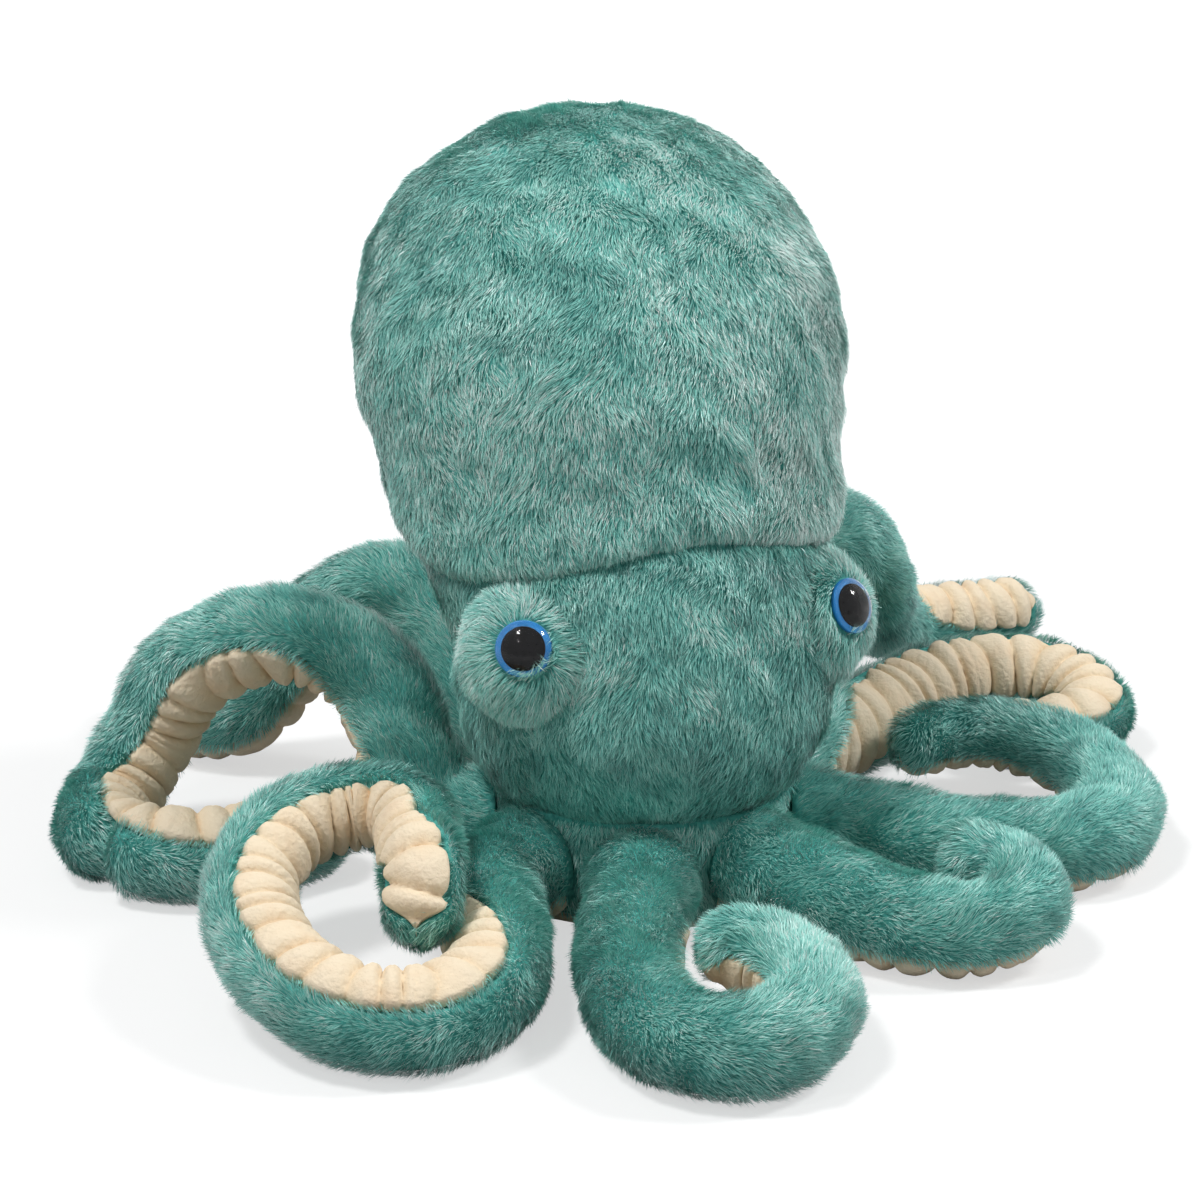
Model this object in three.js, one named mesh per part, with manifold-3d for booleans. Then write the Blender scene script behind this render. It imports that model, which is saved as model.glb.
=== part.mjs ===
// A plush octopus that sits on its eight curled arms.
// Millimetres, +Z up, the face towards -Y, the origin in the middle of the flat foot.
// Each arm is a plush cover that is open along one side, a puckered strip that fills that side,
// and the stuffing inside. It is sewn to one flat of the eight-sided foot. The top of that seam is the fold
// that the arm lifts about: the hinge line runs level along it, half way across the seat's gap.

import * as THREE from 'three';
import { mergeVertices } from 'three/addons/utils/BufferGeometryUtils.js';
import Module from 'manifold-3d';

const wasm = await Module();
wasm.setup();

// Driving sizes
const armDiameter = 33;           // a stuffed arm in the middle of its length, under the pile
const armRootDiameter = 37;       // the same arm where it is sewn on
const armRootTaper = 26;          // length over which the root narrows
const rootStraightShare = 0.22;   // how far an arm leaves the foot squarely, of its root's diameter
const tipTaperPower = 1.5;        // above 1, so that an arm keeps its girth and narrows late
const fabricWall = 3;             // plush with its backing and seam allowance
const seamGap = 0.4;              // between two sewn pieces
const seatGap = 0.3;              // between a hard piece and what it sits on
const floorGap = 0.4;             // under an arm that lies on the floor
const ribDepth = 1.6;             // how far the strip is drawn in between two puckers
const bodyHeight = 253;           // foot to the top of the head
const headRadius = 82;
const headLean = 48;              // how far the head leans back
const faceRadius = 63;
const browHeight = 121;           // the seam between face and head
const panelThickness = 2.6;       // the panel under the foot
const moundRadius = 24;           // the padded bulge round each eye
const moundReach = 51;            // from the body's axis to the middle of a bulge
const moundDrop = 28;             // from the seam across the brow down to the middle of a bulge
const moundHeight = browHeight - moundDrop;
const lensRadius = 9.2;           // an 18 mm safety eye
const lensRise = 4.6;
const irisThickness = 1.5;
const pupilRadius = 7.2;
const pupilThickness = 0.6;
const shankRadius = 2.5;
const shankLength = 8;
const washerRadius = 6;
const washerThickness = 1.5;

// Directions in degrees
const moundBearing = 66;          // from straight ahead to the middle of a bulge
const gazeBearing = 30;           // from straight ahead to where an eye looks
const gazeRise = 22;

// How finely the round forms are drawn
const bodySides = 20;
const eyeSides = 16;
const moundSides = 16;
const moundRings = 8;
const armStep = 28;               // the longest step along a straight arm
const armTurnStep = 0.72;         // the largest turn or twist between two rings, in radians
const armSamples = 300;

// The eight arms stand side by side round the foot, so their root sets the foot's size.
const armCount = 8;
const halfArmAngle = Math.PI / armCount;
const footFlat = (armRootDiameter / 2 + seamGap) / Math.sin(halfArmAngle);
const armRing = footFlat + seatGap;
const rootStraight = armRootDiameter * rootStraightShare;
const rootHeight = armRootDiameter / 2 + floorGap;
const footHeight = rootHeight + armRootDiameter / 2 + seamGap;

// The half angle of the strip and of the gap that the cover leaves for it, in degrees
const stripHalfAngle = 60;
const stripEdgeClearance = 1.6;
const coverArcShares = [0, 0.2, 0.4, 0.6, 0.8, 1];
const liningArcShares = [0, 1 / 3, 2 / 3, 1];
const stripOuterShares = [-1, 0, 1];
const stripInnerShares = [0.95, 0, -0.95];

// Each arm's route, hand chosen: across, away from the face and lift above lying flat, as shares of the
// arm's diameter, then the way that its strip faces. The root and the straight after it come before these.
const armRoutes = {
  front_left: {
    bearing: -22.5, tipShare: 0.82, pathShares: [
      [-1.10, -2.50, 0.00, 0.6, -0.2, -0.8],
      [-1.50, -3.40, 0.00, 0.7, -0.3, -0.7],
      [-1.65, -4.25, 0.00, 0.8, 0.0, -0.6],
      [-1.45, -4.95, 0.00, 0.5, 0.6, -0.7],
      [-0.90, -5.20, 0.00, 0.1, 0.7, -0.7],
      [-0.30, -4.85, 0.05, -0.5, 0.5, -0.6],
      [0.00, -4.20, 0.05, -0.7, 0.3, -0.7],
      [-0.12, -3.52, 0.10, -0.7, -0.3, -0.7],
      [-0.66, -3.12, 0.20, -0.3, -0.7, -0.7],
    ],
  },
  front_right: {
    bearing: 22.5, tipShare: 0.70, pathShares: [
      [0.90, -2.15, 0.05, 0.0, 0.0, -1.0],
      [1.20, -2.70, 0.00, 0.0, 0.0, -1.0],
      [1.60, -3.20, 0.00, 0.0, 0.0, -1.0],
      [2.10, -3.45, 0.00, 0.0, 0.0, -1.0],
      [2.50, -3.45, 0.10, 0.0, 0.0, -1.0],
      [2.75, -3.20, 0.20, 0.0, 0.0, -1.0],
      [2.75, -2.80, 0.28, 0.0, 0.0, -1.0],
      [2.50, -2.55, 0.35, 0.0, 0.0, -1.0],
      [2.20, -2.45, 0.35, 0.0, 0.0, -1.0],
    ],
  },
  side_left: {
    bearing: -67.5, tipShare: 0.74, pathShares: [
      [-2.10, -1.15, 0.05, -0.7, 0.3, -0.7],
      [-2.30, -1.80, 0.00, -0.9, 0.4, -0.1],
      [-2.50, -2.55, 0.00, -0.9, 0.3, 0.5],
      [-2.90, -3.25, 0.00, -0.5, 0.2, 0.9],
      [-3.55, -3.55, 0.00, 0.0, 0.1, 1.0],
      [-4.20, -3.35, 0.05, 0.3, -0.1, 0.9],
      [-4.60, -2.70, 0.20, 0.4, -0.6, 0.7],
      [-4.70, -1.80, 0.40, 0.3, -0.8, 0.5],
      [-4.45, -1.00, 0.60, 0.2, -0.9, 0.3],
      [-3.85, -0.40, 0.80, 0.0, -1.0, 0.0],
      [-3.15, -0.35, 0.90, -0.3, -0.9, 0.0],
      [-2.80, -0.85, 0.95, -0.7, -0.7, 0.2],
      [-2.98, -1.58, 0.97, -0.8, -0.5, 0.4],
      [-3.11, -2.14, 0.93, -0.5, -0.5, 0.7],
      [-3.34, -2.62, 0.45, -0.3, -0.6, 0.7],
    ],
  },
  side_right: {
    bearing: 67.5, tipShare: 0.64, pathShares: [
      [2.05, -0.95, 0.00, 0.0, 0.0, -1.0],
      [2.60, -1.50, 0.00, 0.0, 0.0, -1.0],
      [3.30, -1.80, 0.00, 0.0, 0.0, -1.0],
      [4.10, -1.85, 0.00, 0.0, 0.0, -1.0],
      [4.65, -1.45, 0.00, 0.0, 0.0, -1.0],
      [4.98, -0.70, 0.00, 0.0, 0.0, -1.0],
      [4.95, 0.10, 0.12, 0.0, 0.0, -1.0],
      [4.42, 0.62, 0.30, 0.0, 0.0, -1.0],
      [3.78, 0.80, 0.34, 0.0, 0.0, -1.0],
      [3.15, 0.62, 0.34, 0.0, 0.0, -1.0],
    ],
  },
  rear_left: {
    bearing: -112.5, tipShare: 0.88, pathShares: [
      [-1.95, 0.90, 0.15, -0.4, 0.2, -0.9],
      [-2.15, 1.25, 0.65, -0.7, 0.3, -0.7],
      [-2.25, 1.70, 1.25, -0.5, 0.6, -0.6],
      [-2.60, 2.00, 1.60, -0.4, 0.2, -0.9],
      [-3.10, 2.20, 1.76, -0.2, -0.4, -0.9],
      [-3.65, 2.45, 1.62, 0.1, -0.8, -0.6],
      [-4.10, 2.70, 1.25, 0.4, -0.9, -0.2],
      [-4.45, 2.80, 0.60, 0.6, -0.8, 0.1],
      [-4.90, 2.55, 0.10, 0.8, -0.2, 0.5],
      [-5.20, 1.95, 0.00, 0.9, 0.0, 0.5],
      [-4.95, 1.30, 0.00, 0.5, 0.1, 0.9],
      [-4.30, 1.00, 0.00, 0.1, 0.0, 1.0],
      [-3.55, 1.10, 0.00, 0.0, 0.0, 1.0],
      [-2.85, 1.30, 0.00, 0.0, 0.0, 1.0],
    ],
  },
  rear_right: {
    bearing: 112.5, tipShare: 0.73, pathShares: [
      [2.25, 1.15, 0.10, 0.4, -0.6, -0.7],
      [3.15, 1.75, 0.05, 0.3, -0.7, 0.6],
      [4.10, 2.30, 0.10, -0.1, -0.7, 0.7],
      [4.90, 2.50, 0.15, -0.1, -0.7, 0.7],
      [5.50, 2.35, 0.15, -0.2, -0.7, 0.6],
      [5.85, 2.00, 0.08, -0.3, -0.4, 0.8],
      [5.90, 1.50, 0.00, -0.1, 0.0, 1.0],
      [5.55, 1.15, 0.00, 0.0, 0.0, 1.0],
      [5.05, 1.15, 0.00, 0.0, 0.0, 1.0],
      [4.55, 1.35, 0.00, 0.0, 0.0, 1.0],
    ],
  },
  back_left: {
    bearing: -157.5, tipShare: 0.85, pathShares: [
      [-0.90, 2.45, 0.45, -0.3, 0.4, -0.9],
      [-1.02, 3.25, 1.18, -0.4, 0.4, -0.8],
      [-1.38, 3.80, 1.52, 0.0, 0.0, -1.0],
      [-1.85, 4.10, 1.34, 0.5, -0.2, -0.9],
      [-2.45, 4.20, 0.75, 0.8, -0.3, -0.5],
      [-2.95, 4.35, 0.20, 0.6, -0.2, -0.8],
      [-3.35, 4.75, 0.05, 0.0, 0.0, -1.0],
      [-3.45, 5.30, 0.00, 0.0, 0.0, -1.0],
      [-3.25, 5.80, 0.00, 0.0, 0.0, -1.0],
      [-2.85, 6.15, 0.00, 0.0, 0.0, -1.0],
    ],
  },
  back_right: {
    bearing: 157.5, tipShare: 0.76, pathShares: [
      [1.10, 2.15, 0.40, 0.6, 0.1, -0.8],
      [1.80, 2.40, 1.15, 0.8, -0.1, -0.6],
      [2.42, 2.58, 1.75, 0.5, -0.2, -0.9],
      [3.05, 2.72, 1.98, 0.0, 0.0, -1.0],
      [3.65, 3.02, 1.66, -0.7, -0.1, -0.7],
      [4.10, 3.48, 1.05, -0.9, 0.0, 0.1],
      [4.45, 3.98, 0.48, -0.6, 0.2, 0.6],
      [4.95, 4.40, 0.18, 0.0, -0.2, 1.0],
      [5.75, 4.55, 0.10, 0.1, -0.6, 0.8],
      [6.72, 4.62, 0.10, 0.1, -0.7, 0.7],
    ],
  },
};

// The arm's round end: how far each ring stands along the end's length, and its radius, as shares
const tipRingShares = [[0.45, 0.89], [0.75, 0.66], [0.93, 0.37], [1, 0.1]];

// The head from its seam to its crown: height, radius and lean, as shares
const headOuterShares = [
  [0, 0.79, 0.52], [0.03, 0.835, 0.54], [0.09, 0.885, 0.59], [0.2, 0.935, 0.7], [0.41, 1.01, 0.885],
  [0.6, 0.955, 0.96], [0.77, 0.8, 1], [0.88, 0.61, 1], [0.955, 0.395, 1], [1, 0, 1],
];
const headInnerLevels = [0, 3, 5, 7, 9];

// The face from the top of the foot to the head's seam, in the same shares
const faceOuterShares = [
  [0, 0.79, 0], [0.08, 0.87, 0], [0.2, 0.95, 0.01], [0.4, 1, 0.03], [0.6, 1, 0.1],
  [0.8, 1.01, 0.24], [0.93, 1.01, 0.39], [1, 0.98, 0.47],
];
const faceInnerLevels = [0, 3, 5, 7];

const plushColour = 0x569e94;
const creamColour = 0xf2e2c0;

// Finishes
function finish(colour, roughness) {
  return new THREE.MeshStandardMaterial({ color: colour, roughness, metalness: 0 });
}
const plush = () => finish(plushColour, 0.95);
const creamPlush = () => finish(creamColour, 0.95);
const stuffingFinish = () => finish(0xf6f4ee, 1);

// A compass direction in the floor plane: 0 is straight ahead, towards -Y, and positive is towards +X.
function heading(degrees) {
  const angle = THREE.MathUtils.degToRad(degrees);
  return new THREE.Vector3(Math.sin(angle), -Math.cos(angle), 0);
}

function polar(radius, angle) {
  return new THREE.Vector2(radius * Math.cos(angle), radius * Math.sin(angle));
}

// A closed mesh with shared corners and no flat leftovers where a ring shrinks to a point
function closedGeometry(points, faces) {
  const raw = new THREE.BufferGeometry();
  raw.setAttribute('position', new THREE.Float32BufferAttribute(points.flatMap((p) => p.toArray()), 3));
  raw.setIndex(faces.flat());
  const merged = mergeVertices(raw);
  const index = merged.getIndex().array;
  const kept = [];
  for (let i = 0; i < index.length; i += 3) {
    const [a, b, c] = [index[i], index[i + 1], index[i + 2]];
    if (a !== b && b !== c && c !== a) kept.push(a, b, c);
  }
  merged.setIndex(kept);
  merged.computeVertexNormals();
  return merged;
}

// A skin over a row of rings that run the same way round. Each four-sided patch folds along its shorter
// diagonal, so that two skins that lie close twist alike. A looped skin joins its last ring to its first,
// and an open one is closed by flat ends, cut from the outline that each end ring has in its own plane.
function skin(rings, endOutlines) {
  const count = rings[0].length;
  const points = rings.flat();
  const faces = [];
  const joins = endOutlines ? rings.length - 1 : rings.length;
  for (let i = 0; i < joins; i += 1) {
    const here = i * count;
    const next = ((i + 1) % rings.length) * count;
    for (let j = 0; j < count; j += 1) {
      const k = (j + 1) % count;
      const rising = points[here + j].distanceTo(points[next + k]);
      const falling = points[here + k].distanceTo(points[next + j]);
      if (rising <= falling) faces.push([here + j, here + k, next + k], [here + j, next + k, next + j]);
      else faces.push([here + j, here + k, next + j], [here + k, next + k, next + j]);
    }
  }
  if (endOutlines) {
    const last = (rings.length - 1) * count;
    for (const [a, b, c] of THREE.ShapeUtils.triangulateShape(endOutlines[0], [])) {
      faces.push([a, c, b]);
    }
    for (const [a, b, c] of THREE.ShapeUtils.triangulateShape(endOutlines[1], [])) {
      faces.push([last + a, last + b, last + c]);
    }
  }
  return closedGeometry(points, faces);
}

// Cutting and joining
function toSolid(geometry) {
  const bare = geometry.clone();
  for (const name of ['normal', 'uv']) bare.deleteAttribute(name);
  const merged = mergeVertices(bare);
  return new wasm.Manifold(new wasm.Mesh({
    numProp: 3,
    vertProperties: new Float32Array(merged.getAttribute('position').array),
    triVerts: new Uint32Array(merged.getIndex().array),
  }));
}

function fromSolid(solid) {
  const mesh = solid.getMesh();
  const geometry = new THREE.BufferGeometry();
  geometry.setAttribute('position', new THREE.BufferAttribute(new Float32Array(mesh.vertProperties), 3));
  geometry.setIndex(Array.from(mesh.triVerts));
  geometry.computeVertexNormals();
  return geometry;
}

// The radius of an arm at a distance from its root: it narrows from the root, then slowly to the tip.
function armRadius(distance, length, tipRadius) {
  const middle = armDiameter / 2;
  if (distance < armRootTaper) {
    const narrowing = THREE.MathUtils.smoothstep(distance, 0, armRootTaper);
    return THREE.MathUtils.lerp(armRootDiameter / 2, middle, narrowing);
  }
  const along = (distance - armRootTaper) / (length - armRootTaper);
  return THREE.MathUtils.lerp(middle, tipRadius, along ** tipTaperPower);
}

// The line's middle at a share of its length, its direction, and the way that the strip faces there
function armFrame(line, facing, share) {
  const step = line.getUtoTmapping(share);
  const along = line.getTangent(step);
  const strip = facing.getPoint(step);
  strip.addScaledVector(along, -strip.dot(along)).normalize();
  return { middle: line.getPoint(step), along, strip };
}

// Places along an arm, as shares of its length, set closer together where it bends or twists
function spacedShares(line, facing, length) {
  const tally = [0];
  let before = armFrame(line, facing, 0);
  for (let i = 1; i <= armSamples; i += 1) {
    const now = armFrame(line, facing, i / armSamples);
    const turn = Math.max(before.along.angleTo(now.along), before.strip.angleTo(now.strip));
    tally.push(tally[i - 1] + length / armSamples / armStep + turn / armTurnStep);
    before = now;
  }
  const steps = Math.ceil(tally[armSamples]);
  const shares = [0];
  for (let step = 1; step < steps; step += 1) {
    const goal = (step / steps) * tally[armSamples];
    const i = tally.findIndex((value) => value >= goal);
    shares.push((i - 1 + (goal - tally[i - 1]) / (tally[i] - tally[i - 1])) / armSamples);
  }
  return [...shares, 1];
}

// The rings of an arm: its middle, its radius, how far it has shrunk towards the tip, and its own two
// directions, towards the strip and across it
function armRings(arm) {
  const out = heading(arm.bearing);
  const root = out.clone().multiplyScalar(armRing);
  const start = out.clone().multiplyScalar(armRing + rootStraight);
  const down = new THREE.Vector3(0, 0, -1);
  const spot = (row) => new THREE.Vector3(...row.slice(0, 3)).multiplyScalar(armDiameter);
  const places = arm.pathShares.map(spot);
  const facings = arm.pathShares.map((row) => new THREE.Vector3(...row.slice(3)).normalize());
  const line = new THREE.CatmullRomCurve3([root, start, ...places], false, 'centripetal');
  const facing = new THREE.CatmullRomCurve3([down, down, ...facings], false, 'catmullrom');
  line.arcLengthDivisions = armSamples;
  const length = line.getLength();
  const tipRadius = (arm.tipShare * armDiameter) / 2;
  const bodyShare = 1 - tipRadius / length;
  const plain = spacedShares(line, facing, length).map((share) => [share * bodyShare, 1]);
  const round = tipRingShares.map(([along, shrink]) => [bodyShare + (1 - bodyShare) * along, shrink]);
  return [...plain, ...round].map(([share, shrink]) => {
    const { middle, along, strip } = armFrame(line, facing, share);
    const radius = armRadius(share * length, length, tipRadius);
    middle.z += radius + floorGap;
    return { middle, radius, shrink, strip, across: new THREE.Vector3().crossVectors(along, strip) };
  });
}

function placeOutline(outline, ring) {
  return outline.map((p) => ring.middle.clone()
    .addScaledVector(ring.strip, p.x)
    .addScaledVector(ring.across, p.y));
}

// The cover's section: a wide outer arc and, back the other way, the lining of its wall
function coverOutline(ring) {
  const from = THREE.MathUtils.degToRad(stripHalfAngle + stripEdgeClearance);
  const sweep = 2 * (Math.PI - from);
  const outer = ring.radius * ring.shrink;
  const inner = (ring.radius - fabricWall) * ring.shrink;
  return [
    ...coverArcShares.map((share) => polar(outer, from + sweep * share)),
    ...liningArcShares.map((share) => polar(inner, from + sweep * (1 - share))),
  ];
}

// The strip's section. Between two puckers its middle is drawn in by the given depth.
function stripOutline(ring, depth) {
  const half = THREE.MathUtils.degToRad(stripHalfAngle);
  const outer = ring.radius * ring.shrink;
  const drawnIn = outer - depth * ring.shrink;
  const inner = (ring.radius - fabricWall) * ring.shrink;
  return [
    ...stripOuterShares.map((share) => polar(Math.abs(share) === 1 ? outer : drawnIn, half * share)),
    ...stripInnerShares.map((share) => polar(inner, half * share)),
  ];
}

// The stuffing's section follows the lining, and stands further back from the puckered strip.
function coreOutline(ring) {
  const from = THREE.MathUtils.degToRad(stripHalfAngle + stripEdgeClearance);
  const sweep = 2 * (Math.PI - from);
  const radius = (ring.radius - fabricWall - 2 * seamGap) * ring.shrink;
  return [
    polar(radius - ribDepth * ring.shrink, 0),
    ...liningArcShares.map((share) => polar(radius, from + sweep * share)),
  ];
}

function sweep(rings, outlineOf) {
  const outlines = rings.map(outlineOf);
  const placed = rings.map((ring, i) => placeOutline(outlines[i], ring));
  return skin(placed, [outlines[0], outlines[outlines.length - 1]]);
}

// The strip has a ring half way between every two of the arm's, drawn in by the rib's depth.
function stripGeometry(rings) {
  const crests = rings.map((ring) => placeOutline(stripOutline(ring, 0), ring));
  const hollows = rings.map((ring) => placeOutline(stripOutline(ring, ribDepth), ring));
  const placed = [crests[0]];
  for (let i = 1; i < rings.length; i += 1) {
    const puckered = rings[i - 1].shrink === 1 && rings[i].shrink === 1;
    const between = puckered ? hollows : crests;
    placed.push(between[i - 1].map((p, j) => p.clone().lerp(between[i][j], 0.5)), crests[i]);
  }
  return skin(placed, [stripOutline(rings[0], 0), stripOutline(rings[rings.length - 1], 0)]);
}

function armMeshes(name, arm) {
  const rings = armRings(arm);
  const inside = rings.slice(0, -1);
  return [
    named(`arm_${name}_cover`, sweep(rings, coverOutline), plush()),
    named(`arm_${name}_underside`, stripGeometry(rings), creamPlush()),
    named(`arm_${name}_stuffing`, sweep(inside, coreOutline), stuffingFinish()),
  ];
}

function named(name, geometry, material) {
  const mesh = new THREE.Mesh(geometry, material);
  mesh.name = name;
  return mesh;
}

// A level ring of the body, leaning back by the given amount
function levelRing(radius, lean, height, sides = bodySides, turn = 0) {
  return Array.from({ length: sides }, (_, i) => {
    const p = polar(radius, turn + (i / sides) * 2 * Math.PI);
    return new THREE.Vector3(p.x, p.y + lean, height);
  });
}

// The head's and face's rings at a depth below their surface, from the lowest to the highest
function bodyRings(shares, foot, crown, radius, depth) {
  return shares.map(([along, wide, lean]) => {
    const top = wide === 0;
    const height = THREE.MathUtils.lerp(foot, crown, along) - (top ? depth : 0);
    const ringRadius = top ? 0 : wide * radius - depth;
    return levelRing(ringRadius, lean * headLean, height);
  });
}

function shellBetween(outer, inner) {
  return skin([...outer, ...inner.reverse()]);
}

const pick = (shares, levels) => levels.map((level) => shares[level]);
const headRings = (shares, depth) => bodyRings(shares, browHeight + seamGap, bodyHeight, headRadius, depth);
const faceRings = (shares, depth) => bodyRings(shares, footHeight + seamGap, browHeight, faceRadius, depth);

function headCover() {
  const lining = pick(headOuterShares, headInnerLevels);
  return shellBetween(headRings(headOuterShares, 0), headRings(lining, fabricWall));
}

function faceCover() {
  const lining = pick(faceOuterShares, faceInnerLevels);
  return shellBetween(faceRings(faceOuterShares, 0), faceRings(lining, fabricWall));
}

// The foot is an eight-sided band: every arm is sewn to one of its flats.
function footRing(flat, height) {
  return levelRing(flat / Math.cos(halfArmAngle), 0, height, armCount);
}

function footBand() {
  const base = panelThickness + seamGap;
  const outer = [footRing(footFlat, base), footRing(footFlat, footHeight)];
  const inner = [footRing(footFlat - fabricWall, base), footRing(footFlat - fabricWall, footHeight)];
  return shellBetween(outer, inner);
}

function footPanel() {
  return skin(
    [footRing(footFlat, 0), footRing(footFlat, panelThickness)],
    [flatOutline(footRing(footFlat, 0)), flatOutline(footRing(footFlat, 0))],
  );
}

function flatOutline(ring) {
  return ring.map((p) => new THREE.Vector2(p.x, p.y));
}

// One mass of stuffing fills the foot, the face and the head.
function bodyStuffing() {
  const depth = fabricWall + seamGap;
  const reach = footFlat - depth - seamGap;
  const rings = [
    levelRing(reach, 0, panelThickness + 2 * seamGap),
    levelRing(reach, 0, footHeight),
    ...faceRings(pick(faceOuterShares, faceInnerLevels), depth),
    ...headRings(pick(headOuterShares, headInnerLevels), depth),
  ];
  return skin(rings, [flatOutline(rings[0]), flatOutline(rings[0])]);
}

// Eye pieces are made about the origin, looking along +Z, and then turned and moved to their seat.
function turned(geometry, seat) {
  return geometry.applyQuaternion(seat.turn).translate(seat.middle.x, seat.middle.y, seat.middle.z);
}

function eyeSeat(side) {
  const middle = heading(side * moundBearing).multiplyScalar(moundReach);
  middle.z = moundHeight;
  const rise = THREE.MathUtils.degToRad(gazeRise);
  const look = heading(side * gazeBearing).multiplyScalar(Math.cos(rise));
  look.z = Math.sin(rise);
  const turn = new THREE.Quaternion().setFromUnitVectors(new THREE.Vector3(0, 0, 1), look);
  return { middle, turn };
}

// A disc or rod between two distances from the middle of the bulge
function rod(radius, from, to, sides = eyeSides) {
  const geometry = new THREE.CylinderGeometry(radius, radius, to - from, sides);
  return geometry.rotateX(Math.PI / 2).translate(0, 0, (from + to) / 2);
}

// Where the eye's pieces stand, measured from the middle of the bulge
const seatDepth = Math.sqrt(moundRadius ** 2 - (lensRadius + seatGap) ** 2) - seatGap;
const irisBack = seatDepth + seatGap;
const irisFront = irisBack + irisThickness;
const liningRadius = moundRadius - fabricWall;
const flatsShare = Math.cos(Math.PI / moundSides) ** 2;   // how near a ball's flats come to its middle
const washerFront = Math.sqrt((liningRadius * flatsShare) ** 2 - washerRadius ** 2) - seatGap;
const washerBack = washerFront - washerThickness;
const shankEnd = irisBack - shankLength;

function ball(radius) {
  return new THREE.SphereGeometry(radius, moundSides, moundRings).rotateX(Math.PI / 2);
}

// Cuts away what lies in the face or in the head, and leaves the seam's gap to both
function clearOfBody(solid) {
  const face = faceRings(faceOuterShares, -seamGap);
  const head = headRings(headOuterShares, -seamGap);
  head.unshift(face[face.length - 1]);
  const faceSolid = toSolid(skin(face, [flatOutline(face[0]), flatOutline(face[face.length - 1])]));
  const headSolid = toSolid(skin(head, [flatOutline(head[0]), flatOutline(head[0])]));
  return solid.subtract(faceSolid).subtract(headSolid);
}

function moundCover(seat) {
  const shell = toSolid(ball(moundRadius)).subtract(toSolid(ball(liningRadius)));
  const recess = toSolid(rod(lensRadius + seatGap, seatDepth, 2 * moundRadius));
  const bore = toSolid(rod(shankRadius + seatGap, 0, moundRadius));
  const bored = shell.subtract(recess).subtract(bore);
  return fromSolid(clearOfBody(toSolid(turned(fromSolid(bored), seat))));
}

function moundStuffing(seat) {
  const pocket = toSolid(rod(washerRadius + seatGap, washerBack - seatGap, moundRadius));
  const bore = toSolid(rod(shankRadius + seatGap, shankEnd - seatGap, moundRadius));
  const filled = toSolid(ball(liningRadius - seamGap)).subtract(pocket).subtract(bore);
  return fromSolid(clearOfBody(toSolid(turned(fromSolid(filled), seat))));
}

// The coloured disc of the eye and the shank behind it are one moulding.
function irisMoulding() {
  const overlap = irisThickness / 2;
  const disc = toSolid(rod(lensRadius, irisBack, irisFront));
  return fromSolid(disc.add(toSolid(rod(shankRadius, shankEnd, irisBack + overlap))));
}

function pupilDisc() {
  return rod(pupilRadius, irisFront + seatGap, irisFront + seatGap + pupilThickness);
}

// A clear dome with a shallow pocket at the back for the pupil
function lensDome() {
  const back = irisFront + seatGap;
  const domeRadius = (lensRadius ** 2 + lensRise ** 2) / (2 * lensRise);
  const domeMiddle = back + lensRise - domeRadius;
  const edge = Math.asin(lensRadius / domeRadius);
  const arc = Array.from({ length: eyeSides / 2 + 1 }, (_, i) => {
    const angle = edge * (1 - i / (eyeSides / 2));
    return new THREE.Vector2(domeRadius * Math.sin(angle), domeMiddle + domeRadius * Math.cos(angle));
  });
  arc[arc.length - 1].x = 0;
  const profile = [new THREE.Vector2(0, back), ...arc];
  const dome = new THREE.LatheGeometry(profile, eyeSides).rotateX(Math.PI / 2);
  const pocket = rod(pupilRadius + seatGap, back - pupilThickness, back + pupilThickness + seatGap);
  return fromSolid(toSolid(dome).subtract(toSolid(pocket)));
}

function washer() {
  const disc = toSolid(rod(washerRadius, washerBack, washerFront));
  return fromSolid(disc.subtract(toSolid(rod(shankRadius + seatGap, washerBack - seatGap, moundRadius))));
}

function eyeMeshes(name, side) {
  const seat = eyeSeat(side);
  return [
    named(`eye_mound_${name}_cover`, moundCover(seat), plush()),
    named(`eye_mound_${name}_stuffing`, moundStuffing(seat), stuffingFinish()),
    named(`eye_${name}_iris`, turned(irisMoulding(), seat), finish(0x2b86c8, 0.3)),
    named(`eye_${name}_pupil`, turned(pupilDisc(), seat), finish(0x0a0a0c, 0.2)),
    named(`eye_${name}_lens`, turned(lensDome(), seat), finish(0xdfeaf0, 0.05)),
    named(`eye_${name}_washer`, turned(washer(), seat), finish(0xe8e8e4, 0.6)),
  ];
}

const group = new THREE.Group();
group.add(
  named('head_cover', headCover(), plush()),
  named('face_cover', faceCover(), plush()),
  named('foot_band', footBand(), plush()),
  named('foot_panel', footPanel(), creamPlush()),
  named('body_stuffing', bodyStuffing(), stuffingFinish()),
  ...eyeMeshes('left', -1),
  ...eyeMeshes('right', 1),
  ...Object.entries(armRoutes).flatMap(([name, arm]) => armMeshes(name, arm)),
);

export default group;
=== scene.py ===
"""Plush octopus: its long pile, puckered undersides, eyes and stage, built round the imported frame.

Lengths are metres, +Z is up and the face looks along -Y. Left in a name is the viewer's left. Every surface
is a formula in two parameters, worked out with numpy as whole arrays.
"""

import bpy
import numpy as np
from bpy.props import FloatProperty, FloatVectorProperty, IntProperty, PointerProperty
from mathutils import Matrix


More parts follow.
